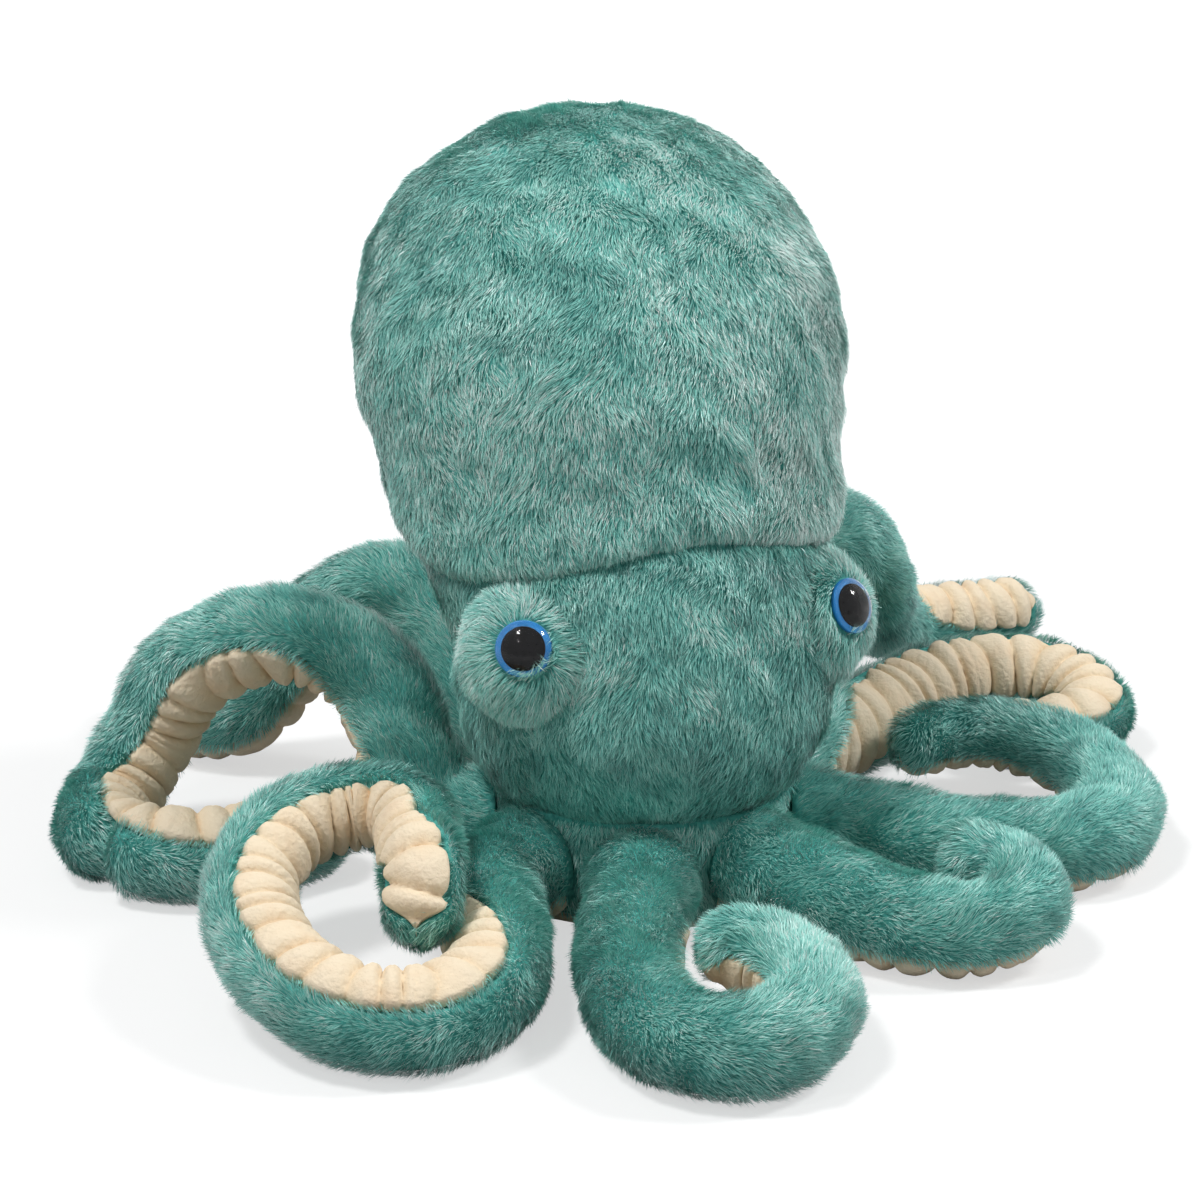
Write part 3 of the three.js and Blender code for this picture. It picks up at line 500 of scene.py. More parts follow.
class ArmRoute:
    """An arm's centre line, girth and strip direction, as functions of the share of its length."""

    def __init__(self, bearing, tip_share, path, fold):
        rows = np.array(path)
        out = heading(bearing)
        self.out = out
        self.line = np.vstack([out * ARM_RING, out * (ARM_RING + ARM_ROOT_DIAMETER * ROOT_STRAIGHT_SHARE),
                               rows[:, :3] * ARM_DIAMETER])
        self.facing = np.vstack([-UP, -UP, unit(rows[:, 3:])])
        self.spots = np.linspace(0, 1, ROUTE_DIVISIONS + 1)
        steps = np.linalg.norm(np.diff(curve_at(self.line, self.spots, True), axis=0), axis=1)
        self.lengths = np.concatenate([[0], np.cumsum(steps)])
        self.length = self.lengths[-1]
        self.tip_radius = tip_share * ARM_DIAMETER / 2
        self.body_share = 1 - self.tip_radius / self.length
        row, self.fold_depth = fold
        self.fold_share = np.interp((row + 2) / (len(self.line) - 1), self.spots, self.lengths) / self.length

    def frame(self, share):
        """Middle, direction, strip direction and the direction across, with the radius before the tip
        rounds off."""
        share = np.clip(share, 0, 1)
        spot = np.interp(share * self.length, self.lengths, self.spots)
        step = 1e-4
        middle = curve_at(self.line, spot, True)
        along = unit(curve_at(self.line, np.minimum(spot + step, 1), True)
                     - curve_at(self.line, np.maximum(spot - step, 0), True))
        strip = curve_at(self.facing, spot, False)
        strip = unit(strip - dot(strip, along) * along)
        distance = share * self.length
        taper = np.clip((distance - ARM_ROOT_TAPER) / (self.length - ARM_ROOT_TAPER), 0, 1)
        middle_radius = ARM_DIAMETER / 2
        radius = middle_radius + (self.tip_radius - middle_radius) * taper ** TIP_TAPER_POWER
        radius = radius + (ARM_ROOT_DIAMETER / 2 - middle_radius) * (1 - smooth(distance / ARM_ROOT_TAPER))
        middle = middle + UP * (radius + FLOOR_GAP)[:, None]
        return middle, along, strip, np.cross(along, strip), radius

    def shrink(self, share):
        """How far a ring has shrunk in the round tip: the height of a quarter circle."""
        x = np.clip((share - self.body_share) / (1 - self.body_share), 0, 1)
        return np.sqrt(np.maximum(1 - x * x, 0))

    def half_angle(self, share):
        """Half of the strip's width as an angle: the same along the arm, closing to nothing at the tip."""
        into_cap = (share - self.body_share) / (1 - self.body_share)
        return STRIP_HALF_ANGLE * (1 - smooth((into_cap - 0.15) / 0.8))

    def surface(self, depth, spread=None):
        """The tube's surface. The spread turns the second parameter into an angle from the strip's middle,
        and the depth says how far the surface lies inside the tube."""
        def at(share, v):
            angle = v if spread is None else spread(share, v)
            middle, _, strip, across, radius = self.frame(share)
            rho = (radius - depth(share, angle)) * self.shrink(share)
            return middle + rho[:, None] * (np.cos(angle)[:, None] * strip + np.sin(angle)[:, None] * across)
        return at

    def filled_depth(self, share, angle):
        """How far the filled cover stands inside the tube: a little all over, with slow dents and the fold,
        and the fabric's whole thickness where the strip lies on it."""
        turned = np.abs((angle + np.pi) % TURN - np.pi)
        under_strip = smooth((self.half_angle(share) - turned) / np.radians(8) + 0.5)
        dents = 0.6 * MM * np.sin(share * self.length / (19 * MM)) * np.cos(angle)
        fold = self.fold_depth * np.exp(-((share - self.fold_share) * self.length / FOLD_WIDTH) ** 2)
        return 0.6 * MM + (dents + fold) * (1 - under_strip) + (STRIP_WALL + 0.3 * MM) * under_strip

    def cover_spread(self, share, v):
        """From -1 to 1: from one edge of the strip round the back to the other."""
        return np.pi + v * (np.pi - self.half_angle(share) - STRIP_EDGE_CLEARANCE * 0.5)

    def strip_spread(self, share, v):
        """From -1 to 1: from one edge of the strip across it to the other."""
        return v * np.maximum(self.half_angle(share), 0.03)

    def rows(self, pitch, tip_rows):
        """Shares of the length: evenly spaced along the arm, then closer and closer round the tip."""
        quarter = np.sin(np.linspace(0.1, 1, tip_rows) * np.pi / 2)
        tip = self.body_share + (1 - self.body_share) * quarter * 0.999
        return np.concatenate([np.linspace(0, self.body_share, int(self.length / pitch)), tip])


# The trunk's surface
BROW_FILL = 6.0 * MM
BROW_FILL_REACH = 14 * MM


def spline_table(shares, crown):
    """The profile's rows as a dense smooth table. Past the crown the curve goes on to a mirrored row, so that
    it arrives level."""
    rows = np.array(shares, float)
    end = 1
    if crown:
        end = (len(rows) - 1) / len(rows)
        rows = np.vstack([rows, rows[-2] * [1, -1, 1]])
    return curve_at(rows, np.linspace(0, end, PROFILE_ROWS), True)


HEAD_TABLE = spline_table(HEAD_SHARES, True)
FACE_TABLE = spline_table(FACE_SHARES, False)


def brow_warp(points):
    """Moves the fold between head and face to where it shows: up in the middle of the brow and down beside
    the eyes. The shift fades out above and below the fold."""
    side = np.degrees(np.arctan2(points[:, 0], -points[:, 1] + 20 * MM))
    rise = 11 * MM * np.exp(-(side / 38) ** 2) - 6 * MM * np.exp(-((np.abs(side) - 80) / 34) ** 2)
    fade = smooth(1 - np.abs(points[:, 2] - BROW_HEIGHT) / (62 * MM))
    warped = points.copy()
    warped[:, 2] += rise * fade
    return warped


def trunk_surface(table, foot, crown, radius):
    """A ring at each height of the profile: its radius less the inset, its middle moved back by the lean,
    then slow lumps of a filled fabric and the shifted brow. The filling pushes the seam at the brow outward
    by an amount that dies away above and below it."""
    def at(u, v):
        spot = np.clip(u, 0, 1) * (len(table) - 1)
        index = np.arange(len(table))
        height, wide, lean = (np.interp(spot, index, table[:, k]) for k in range(3))
        z = foot + height * (crown - foot) - SKIN_INSET * (1 - smooth(wide * 2))
        filled = BROW_FILL * np.exp(-np.abs((z - BROW_HEIGHT) / BROW_FILL_REACH) ** 1.5) * smooth(wide * 3)
        r = np.maximum(wide * radius + filled - SKIN_INSET * smooth(wide * 4), 0)
        points = np.stack([r * np.cos(v), r * np.sin(v) + lean * HEAD_LEAN, z], -1)
        lumps = 1.1 * MM * waves(points, 70 * MM, 11)
        outward = np.stack([np.cos(v), np.sin(v), np.zeros_like(v)], -1) * smooth(wide * 3)[:, None]
        return brow_warp(points + lumps[:, None] * outward)
    return at


HEAD_SKIN = trunk_surface(HEAD_TABLE, BROW_HEIGHT, BODY_HEIGHT, HEAD_RADIUS)
FACE_SKIN = trunk_surface(FACE_TABLE, FOOT_HEIGHT + SEAM_GAP, BROW_HEIGHT, FACE_RADIUS)


# The eyes' seats
class EyeSeat:
    """The middle of an eye's padded bulge and the three directions of the eye: two across and one out."""

    def __init__(self, side):
        self.middle = heading(side * MOUND_BEARING) * MOUND_REACH + UP * MOUND_HEIGHT
        self.look = aimed(side * GAZE_BEARING, GAZE_RISE)
        self.right = unit(np.cross(UP, self.look))
        self.up = np.cross(self.look, self.right)

    def turned(self, profile, sides):
        """Rings of a profile of radius and distance out, turned about the eye's axis."""
        angles = np.arange(sides) / sides * TURN
        radial = np.cos(angles)[:, None] * self.right + np.sin(angles)[:, None] * self.up
        profile = np.asarray(profile)
        return self.middle + profile[:, None, :1] * radial + profile[:, None, 1:] * self.look

    def mound(self, u, v):
        """A ball round the seat's middle: the first parameter is the angle from the gaze, the second goes
        round it."""
        radial = np.cos(v)[:, None] * self.right - np.sin(v)[:, None] * self.up
        outward = np.sin(u)[:, None] * radial + np.cos(u)[:, None] * self.look
        return self.middle + (MOUND_RADIUS - MOUND_INSET) * outward


EYE_SEATS = {"left": EyeSeat(-1), "right": EyeSeat(1)}
IRIS_BACK = np.sqrt(MOUND_RADIUS ** 2 - (LENS_RADIUS + SEAT_GAP) ** 2)
IRIS_FRONT = IRIS_BACK + IRIS_THICKNESS


# Materials
WHITE = (1.0, 1.0, 1.0)


class Nodes:
    """Short ways to add to a node tree. An input's value is a constant or another node's output."""

    def __init__(self, tree):
        self.tree = tree

    def feed(self, node, inputs):
        """Gives a node's inputs their values."""
        for key, value in inputs.items():
            if isinstance(value, bpy.types.NodeSocket):
                self.tree.links.new(value, node.inputs[key])
            else:
                node.inputs[key].default_value = value

    def add(self, kind, inputs, output, **options):
        """The output of a new node with the given options and inputs."""
        node = self.tree.nodes.new("ShaderNode" + kind)
        for key, value in options.items():
            setattr(node, key, value)
        self.feed(node, inputs)
        return node.outputs[output]

    def ramp(self, value, stops):
        """A colour that follows a value through the given places and colours."""
        node = self.tree.nodes.new("ShaderNodeValToRGB")
        elements = node.color_ramp.elements
        while len(elements) < len(stops):
            elements.new(0.5)
        for element, (place, colour) in zip(elements, stops):
            element.position = place
            element.color = (*colour, 1)
        self.feed(node, {"Fac": value})
        return node.outputs["Color"]

    def place(self):
        """The place on the piece itself."""
        return self.add("TexCoord", {}, "Object")

    def noise(self, scale, detail=2.0):
        """Noise over the piece."""
        return self.add("TexNoise", {"Vector": self.place(), "Scale": scale, "Detail": detail}, "Fac")

    def mapped(self, axis):
        """One coordinate of the map."""
        return self.add("SeparateXYZ", {0: self.add("UVMap", {}, "UV", uv_map="OFBake")}, axis)

    def mix(self, factor, a, b, blend="MIX"):
        """Two colours mixed."""
        return self.add("Mix", {"Factor": factor, "A": a, "B": b}, "Result",
                        data_type="RGBA", blend_type=blend)

    def straight_rays(self):
        """1 for a ray from the camera, off a shiny piece or through a clear one, and else 0."""
        rays = self.tree.nodes.new("ShaderNodeLightPath")
        total = rays.outputs["Is Camera Ray"]
        for kind in ("Is Glossy Ray", "Is Transmission Ray"):
            total = self.add("Math", {0: total, 1: rays.outputs[kind]}, 0, operation="MAXIMUM")
        return total


def node_material(name, colour):
    """A material, its nodes and its surface shader."""
    material = bpy.data.materials.new(name)
    material.use_nodes = True
    material.diffuse_color = (*colour, 1)
    return material, Nodes(material.node_tree), material.node_tree.nodes["Principled BSDF"]


def pile_material(settings):
    """Fibres coloured by their tone, with painted shade darker towards the root, a painted highlight of frost
    on the tips, and a soft sheen.
    """
    material, nodes, shader = node_material("teal_pile", settings.teal)
    height = nodes.mapped("Y")
    tone = nodes.ramp(nodes.mapped("X"), [(0.0, settings.deep), (0.28, settings.shade), (0.52, settings.teal),
                                          (0.76, settings.light), (1.0, settings.frost)])
    # Painted shade: the fibres darken towards the root, where the pile shades itself.
    depth = nodes.ramp(height, [(0.0, (0.38, 0.43, 0.43)), (0.45, (0.85, 0.88, 0.88)), (1.0, WHITE)])
    # Painted highlight: frost is mixed into the top of each fibre, so that the tips and the rims of the pile
    # read lighter.
    tips = nodes.ramp(height, [(0.5, (0.0, 0.0, 0.0)), (1.0, (0.28, 0.28, 0.28))])
    colour = nodes.mix(tips, nodes.mix(1.0, tone, depth, "MULTIPLY"), (*settings.frost, 1))
    nodes.feed(shader, {"Base Color": colour, "Roughness": 0.3, "Specular IOR Level": 0.42,
                        "Sheen Weight": 0.45, "Sheen Roughness": 0.4})
    return material


def backing_material(settings):
    """The knitted backing under the pile, with a fine uneven weave. It is dark as painted shade, so that the
    gaps between the fibres read as shade.
    """
    material, nodes, shader = node_material("teal_backing", settings.shade)
    # Painted shade: the backing runs from deep to shaded teal.
    colour = nodes.ramp(nodes.noise(600), [(0.3, settings.deep), (0.7, settings.shade)])
    nodes.feed(shader, {"Base Color": colour, "Roughness": 0.95})
    return material


def velour_material(settings):
    """Cream velour: warmer in patches, darker and browner in the creases as painted shade, with a fine nap."""
    material, nodes, shader = node_material("puckered_velour", settings.cream)
    patches = nodes.ramp(nodes.noise(90, 4), [(0.1, settings.warm), (0.5, settings.cream)])
    # Painted shade: the deeper a place lies in a crease, the darker and browner the velour.
    creases = nodes.ramp(nodes.mapped("X"), [(0.0, WHITE), (0.5, (0.98, 0.95, 0.90)),
                                             (0.9, (0.72, 0.56, 0.40))])
    nap = nodes.add("Bump", {"Strength": 0.8, "Distance": 0.7 * MM, "Height": nodes.noise(700, 5)}, "Normal")
    nodes.feed(shader, {"Base Color": nodes.mix(1.0, patches, creases, "MULTIPLY"), "Normal": nap,
                        "Roughness": 0.9, "Specular IOR Level": 0.2, "Sheen Weight": 0.06,
                        "Sheen Roughness": 0.5})
    return material


def gloss_material(name, colour, roughness, shine):
    """Moulded plastic with a faint clouding of its colour."""
    material, nodes, shader = node_material(name, colour)
    clouded = nodes.ramp(nodes.noise(120), [(0.3, tuple(c * 0.85 for c in colour)), (0.7, colour)])
    nodes.feed(shader, {"Base Color": clouded, "Roughness": roughness, "Specular IOR Level": shine})
    return material


def clear_material():
    """Clear acrylic, whose glossy coat is on its outside only."""
    material, nodes, shader = node_material("clear_dome", (0.95, 0.97, 0.98))
    backfacing = nodes.add("NewGeometry", {}, "Backfacing")
    outside = nodes.add("Math", {0: 1.0, 1: backfacing}, 0, operation="SUBTRACT")
    nodes.feed(shader, {"Base Color": (1, 1, 1, 1), "Roughness": 0.02, "IOR": 1.03, "Transmission Weight": 1.0,
                        "Coat Weight": outside, "Coat Roughness": 0.08, "Coat IOR": 1.28})
    return material


def shared(name, make, *given):
    """The material of that name, made the first time it is asked for."""
    return bpy.data.materials.get(name) or make(*given)


def dress(piece, material, slot):
    """Gives a piece its material. The slot, which names the part's material that it stands for, is not used."""
    piece.data.materials.append(material)


# Head, face and foot
TRUNK_SIDES = 160
HEAD_ROWS = 120
FACE_ROWS = 70
HEAD_SECTORS = 4
FOOT_SIDES = 96
CORNER_EASE = 0.9
HEAD_LEANS = (34, 14)
BROW_LEANS = (15, -13)
FACE_LEANS = (32, 14)
FOOT_LEANS = (40, 20)


def frost_and_light_on_head(points):
    """More silver fibres low on the head and on its right, fewer at the crown and on the left. The extra silver
    and lighter tone on the right are painted light on the lit side, and the silver fibres are partly painted
    glints.
    """
    low = smooth((240 * MM - points[:, 2]) / (110 * MM))
    right = smooth((points[:, 0] + 20 * MM) / (90 * MM))
    return np.clip(0.04 + 0.20 * low + 0.50 * right + 0.16 * waves(points, 50 * MM, 21), 0.01, 0.75)


def frost_and_shade_on_face(points):
    """Silver fibres between and below the eyes, partly painted glints. Low down the share turns negative, which
    lowers the tone: painted shade under the head.
    """
    middle = np.exp(-((points[:, 2] - 98 * MM) / (26 * MM)) ** 2)
    return np.clip(-0.50 + 0.62 * middle + 0.22 * waves(points, 24 * MM, 22), -0.7, 0.5)


def outside_mounds(points):
    """True where a point isn't in one of the eyes' padded bulges."""
    clear = [np.linalg.norm(points - seat.middle, axis=1) > MOUND_RADIUS - 1 * MM
             for seat in EYE_SEATS.values()]
    return clear[0] & clear[1]


def outside_trunk(points):
    """True where a point isn't inside the face or the head, going by the radius at its height."""
    clear = np.ones(len(points), bool)
    for table, foot, crown, radius in ((HEAD_TABLE, BROW_HEIGHT, BODY_HEIGHT, HEAD_RADIUS),
                                       (FACE_TABLE, FOOT_HEIGHT, BROW_HEIGHT, FACE_RADIUS)):
        height = (points[:, 2] - foot) / (crown - foot)
        within = (height > 0) & (height < 1)
        wide = np.interp(height, table[:, 0], table[:, 1]) * radius
        lean = np.interp(height, table[:, 0], table[:, 2]) * HEAD_LEAN
        away = np.hypot(points[:, 0], points[:, 1] - lean)
        clear &= ~(within & (away < wide - 1 * MM))
    return clear


def brushed_down(points, along, around, v):
    """The trunk's pile is brushed one way: down, forward and a little to the left."""
    return np.broadcast_to(np.array([-0.22, -0.45, -1.0]), points.shape)


def trunk_cover(name, surface, rows, settings, *nodes):
    """A filled cover of the trunk, in place of the given solids."""
    cover = tube_mesh(name, surface_grid(surface, np.linspace(0, 1, rows), round_angles(TRUNK_SIDES)))
    dress(cover, shared("teal_backing", backing_material, settings), "teal_plush")
    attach(cover, "body")
    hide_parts(*nodes)


class OCTOPUS_OT_head(bpy.types.Operator):
    """Make the head: its filled cover and the pile on it"""
    bl_idname = "octopus.head"
    bl_label = "Head"

    def execute(self, context):
        settings = context.scene.octopus_plush
        trunk_cover("head_filled_cover", HEAD_SKIN, HEAD_ROWS, settings, "head_cover", "body_stuffing")
        for sector in range(HEAD_SECTORS):
            v_range = (TURN * sector / HEAD_SECTORS, TURN * (sector + 1) / HEAD_SECTORS)
            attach(pile(f"head_pile_{sector + 1}", HEAD_SKIN, (0.002, 0.999), v_range, settings,
                         settings.head_density, settings.head_pile, brushed_down, 100 + 10 * sector,
                         frost_and_light_on_head, HEAD_LEANS, outside_mounds), "body")
        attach(pile("brow_pile", HEAD_SKIN, (0.002, 0.05), (0, TURN), settings, 0.8 * settings.head_density,
                     1.9 * settings.head_pile, brushed_down, 160, frost_and_light_on_head, BROW_LEANS,
                     outside_mounds), "body")
        return {"FINISHED"}


class OCTOPUS_OT_face(bpy.types.Operator):
    """Make the face: its filled cover and the pile on it"""
    bl_idname = "octopus.face"
    bl_label = "Face"

    def execute(self, context):
        settings = context.scene.octopus_plush
        trunk_cover("face_filled_cover", FACE_SKIN, FACE_ROWS, settings, "face_cover")
        for side, v_range in enumerate(((np.pi, TURN), (0, np.pi))):
            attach(pile(f"face_pile_{side + 1}", FACE_SKIN, (0.002, 0.995), v_range, settings,
                         settings.head_density, settings.head_pile, brushed_down, 200 + 10 * side,
                         frost_and_shade_on_face, FACE_LEANS, outside_mounds), "body")
        return {"FINISHED"}


class OCTOPUS_OT_foot(bpy.types.Operator):
    """Make the foot: the band that the arms are sewn to and the panel under it"""
    bl_idname = "octopus.foot"
    bl_label = "Foot"

    def execute(self, context):
        plush, strip = context.scene.octopus_plush, context.scene.octopus_strip
        for name, node, low, high, material, slot in (
                ("foot_filled_band", "foot_band", PANEL_THICKNESS + SEAM_GAP, FOOT_HEIGHT,
                 shared("teal_backing", backing_material, plush), "teal_plush"),
                ("foot_sewn_panel", "foot_panel", 0.0, PANEL_THICKNESS,
                 shared("puckered_velour", velour_material, strip), "cream_velour")):
            piece = tube_mesh(name, foot_rings(low, high))
            dress(piece, material, slot)
            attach(piece, "body")
            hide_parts(node)
        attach(pile("foot_pile", foot_wall, (0.05, 0.99), (0, TURN), plush, plush.head_density,
                     plush.arm_pile, brushed_down, 260, frost_and_shade_on_arm, FOOT_LEANS, between_arms), "body")
        return {"FINISHED"}


def foot_radius(angles):
    """The band's outline, eight-sided with round corners: the distance to a flat divided by the cosine of
    the angle from the flat's middle, eased near the corners."""
    from_flat = (angles - np.pi / ARM_COUNT) % (TURN / ARM_COUNT) - np.pi / ARM_COUNT
    return FOOT_FLAT / np.cos(np.arcsin(np.sin(from_flat) * CORNER_EASE))


def foot_wall(u, v):
    """The band's outer wall: the first parameter is the share of its height, the second the angle."""
    radius = foot_radius(v) - 0.3 * MM
    low = PANEL_THICKNESS + SEAM_GAP
    return np.stack([radius * np.cos(v), radius * np.sin(v), low + u * (FOOT_HEIGHT - low)], -1)


def foot_rings(low, high):
    """Rings of the band's outline, with the top and bottom edges rounded."""
    angles = round_angles(FOOT_SIDES)
    rounding = min((high - low) / 3, 1.2 * MM)
    rows = []
    for height, inset in ((low, rounding), (low + rounding / 3, rounding / 4), (low + rounding, 0),
                          (high - rounding, 0), (high - rounding / 3, rounding / 4), (high, rounding)):
        r = foot_radius(angles) - inset
        rows.append(np.stack([r * np.cos(angles), r * np.sin(angles), np.full_like(angles, height)], -1))
    return np.array(rows)


def between_arms(points):
    """True where the band isn't covered by the root of an arm: far enough from every arm's axis."""
    clear = np.ones(len(points), bool)
    for bearing, _, _ in ARM_ROUTES.values():
        out = heading(bearing)
        ahead = points @ out
        away = np.linalg.norm(points - ahead[:, None] * out - UP * ROOT_HEIGHT, axis=1)
        clear &= (ahead < 0) | (away > ARM_ROOT_DIAMETER / 2 - 2 * MM)
    return clear


# Eyes
MOUND_ROWS = 48
MOUND_SIDES = 72
MOUND_LEANS = (46, 22)
FRINGE_LEANS = (46, 18)
FRINGE_LENGTH = 5.6 * MM
EYE_OPENING = np.arcsin(LENS_RADIUS / MOUND_RADIUS)
NO_RADIUS = 0.1 * MM             # the middle of a turned profile, just off its axis


class OCTOPUS_OT_mounds(bpy.types.Operator):
    """Make the padded bulges round the eyes"""
    bl_idname = "octopus.mounds"
    bl_label = "Eye mounds"

    def execute(self, context):
        settings = context.scene.octopus_plush
        for number, (name, seat) in enumerate(EYE_SEATS.items()):
            polar = np.linspace(0.02, np.pi - 0.02, MOUND_ROWS)
            rings = surface_grid(seat.mound, polar, round_angles(MOUND_SIDES))
            cover = tube_mesh(f"eye_mound_{name}_filled", rings)
            dress(cover, shared("teal_backing", backing_material, settings), "teal_plush")
            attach(cover, "body")
            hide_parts(f"eye_mound_{name}_cover", f"eye_mound_{name}_stuffing", f"eye_{name}_washer")
            seed = 300 + 20 * number
            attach(pile(f"eye_mound_{name}_pile", seat.mound, (EYE_OPENING, 2.3), (0, TURN), settings,
                         settings.head_density, settings.mound_pile, away_from_eye, seed, frost_on_mound,
                         MOUND_LEANS, outside_trunk), "body")
            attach(pile(f"eye_{name}_fringe", seat.mound, (EYE_OPENING + 0.01, EYE_OPENING + 0.10),
                         (-0.7, 2.2), settings, settings.head_density, FRINGE_LENGTH, over_the_eye, seed + 10,
                         frost_on_mound, FRINGE_LEANS, outside_trunk), "body")
        return {"FINISHED"}


def away_from_eye(points, along, around, v):
    """The pile on a bulge lies mostly away from the eye and a little the way the trunk is brushed."""
    return along + 0.5 * brushed_down(points, along, around, v)


def over_the_eye(points, along, around, v):
    """The fringe leans over the rim of the eye."""
    return -along


def frost_on_mound(points):
    """A few silver fibres, evenly; they are partly painted glints."""
    return np.clip(0.26 + 0.12 * waves(points, 20 * MM, 23), 0.02, 0.5)


class OCTOPUS_OT_eyes(bpy.types.Operator):
    """Make the moulded eyes: blue disc, black pupil and clear dome"""
    bl_idname = "octopus.eyes"
    bl_label = "Eyes"

    def execute(self, context):
        settings = context.scene.octopus_eye
        materials = {
            "iris": gloss_material("blue_disc", settings.iris, 0.4, 0.3),
            "pupil": gloss_material("black_disc", settings.pupil, 0.6, 0.05),
            "lens": clear_material(),
        }
        for side, seat in EYE_SEATS.items():
            for part, profile in self.profiles().items():
                piece = tube_mesh(f"eye_{side}_fine_{part}", seat.turned(profile, settings.sides))
                dress(piece, materials[part], f"eye_{part}")
                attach(piece, "body")
                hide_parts(f"eye_{side}_{part}")
        return {"FINISHED"}

    def profiles(self):
        """Radius and distance out along each piece's outline. The dome is a cap of a ball whose radius is
        the lens radius squared plus the rise squared, over twice the rise."""
        dome_radius = (LENS_RADIUS ** 2 + LENS_RISE ** 2) / (2 * LENS_RISE)
        swing = np.linspace(np.arcsin(LENS_RADIUS / dome_radius), 0.01, 28)
        back = IRIS_FRONT + SEAT_GAP
        dome = np.stack([dome_radius * np.sin(swing),
                         back + LENS_RISE - dome_radius + dome_radius * np.cos(swing)], 1)
        bevel = 0.35 * MM
        shank_radius, shank_end = 2.5 * MM, IRIS_BACK - 6 * MM
        hollow_radius, hollow_top = PUPIL_RADIUS + 0.3 * MM, back + PUPIL_THICKNESS + 0.1 * MM
        return {
            "iris": [[NO_RADIUS, shank_end], [shank_radius, shank_end], [shank_radius, IRIS_BACK],
                     [LENS_RADIUS - bevel, IRIS_BACK], [LENS_RADIUS, IRIS_BACK + bevel],
                     [LENS_RADIUS, IRIS_FRONT - bevel], [LENS_RADIUS - bevel, IRIS_FRONT],
                     [NO_RADIUS, IRIS_FRONT]],
            "pupil": [[NO_RADIUS, back], [PUPIL_RADIUS, back], [PUPIL_RADIUS, back + PUPIL_THICKNESS / 2],
                      [PUPIL_RADIUS - bevel / 2, back + PUPIL_THICKNESS], [NO_RADIUS, back + PUPIL_THICKNESS]],
            "lens": [[NO_RADIUS, hollow_top], [hollow_radius, hollow_top], [hollow_radius, back],
                     *dome.tolist()],
        }


# Arms
ARM_LEANS = (50, 30)
ARM_SIDES = 60
COVER_PITCH = 2.4 * MM
STRIP_PITCH = 0.75 * MM
STRIP_SIDES = (32, 6)            # across the puckers and across the lining
EDGE_TURN = 2.6 * MM             # how far the strip's edges turn in
BLEND_REACH = (-4 * MM, 14 * MM)  # two reaches from the foot outward at an arm's root, whose points the arms' loop works out but doesn't use


def arm_toward_tip(points, along, around, v):
    """An arm's pile is brushed towards its tip, and leans over the strip's edges where it grows beside them."""
    beside = smooth((np.abs(v) - 0.80) / 0.16) * np.sign(v)
    return along + 1.3 * beside[:, None] * around


def frost_and_shade_on_arm(points):
    """Few silver fibres, partly painted glints, and a deeper teal on the right, painted shade on that side."""
    right = smooth((points[:, 0] - 60 * MM) / (80 * MM))
    return np.clip(0.10 + 0.08 * waves(points, 26 * MM, 24) - 0.42 * right, -0.35, 0.3)


def pucker_depth(route, settings, seed):
    """How far the strip is drawn in. Distance along is warped by slow waves and sheared across the strip, so
    that no two puckers are alike; each is a rounded roll, a power of a sine, with a sharp crease at both
    sides. Here and there a lesser crease splits a roll, and crushed velour adds small lumps."""
    phases = np.random.default_rng(seed).uniform(0, TURN, 12)

    def wave(x, length, k):
        return np.sin(x * TURN / length + phases[k])

    def at(share, angle):
        distance = share * route.length
        side = angle / STRIP_HALF_ANGLE
        slow = 2.4 * MM * wave(distance, 71 * MM, 0) + 1.4 * MM * wave(distance, 29 * MM, 1)
        shear = (1.8 * wave(distance, 47 * MM, 2) + 1.2 * wave(distance, 21 * MM, 3)) * MM * side
        bow = 2.0 * MM * wave(distance, 37 * MM, 4) * side ** 2
        turn = (distance + slow + shear + bow) / settings.pitch
        roll = (np.abs(np.sin(turn * np.pi)) + 0.003) ** 0.52
        vary = 0.82 + 0.18 * wave(distance, 13.7 * MM, 5) * np.cos(side * 2 + phases[6])
        split = smooth(0.8 * wave(distance, 53 * MM, 7) + 0.9 * side * wave(distance, 31 * MM, 8))
        lesser = split * (1 - np.sqrt(np.abs(np.cos(turn * np.pi)) + 0.003)) * 0.35
        crushed = distance + 1.7 * MM * wave(angle, 1.1, 9)
        lumps = 0.15 * MM * wave(crushed, 5.1 * MM, 10) * wave(angle, 0.47, 11)
        return settings.depth * vary * (1 - roll + lesser) + lumps - PUCKER_SWELL
    return at


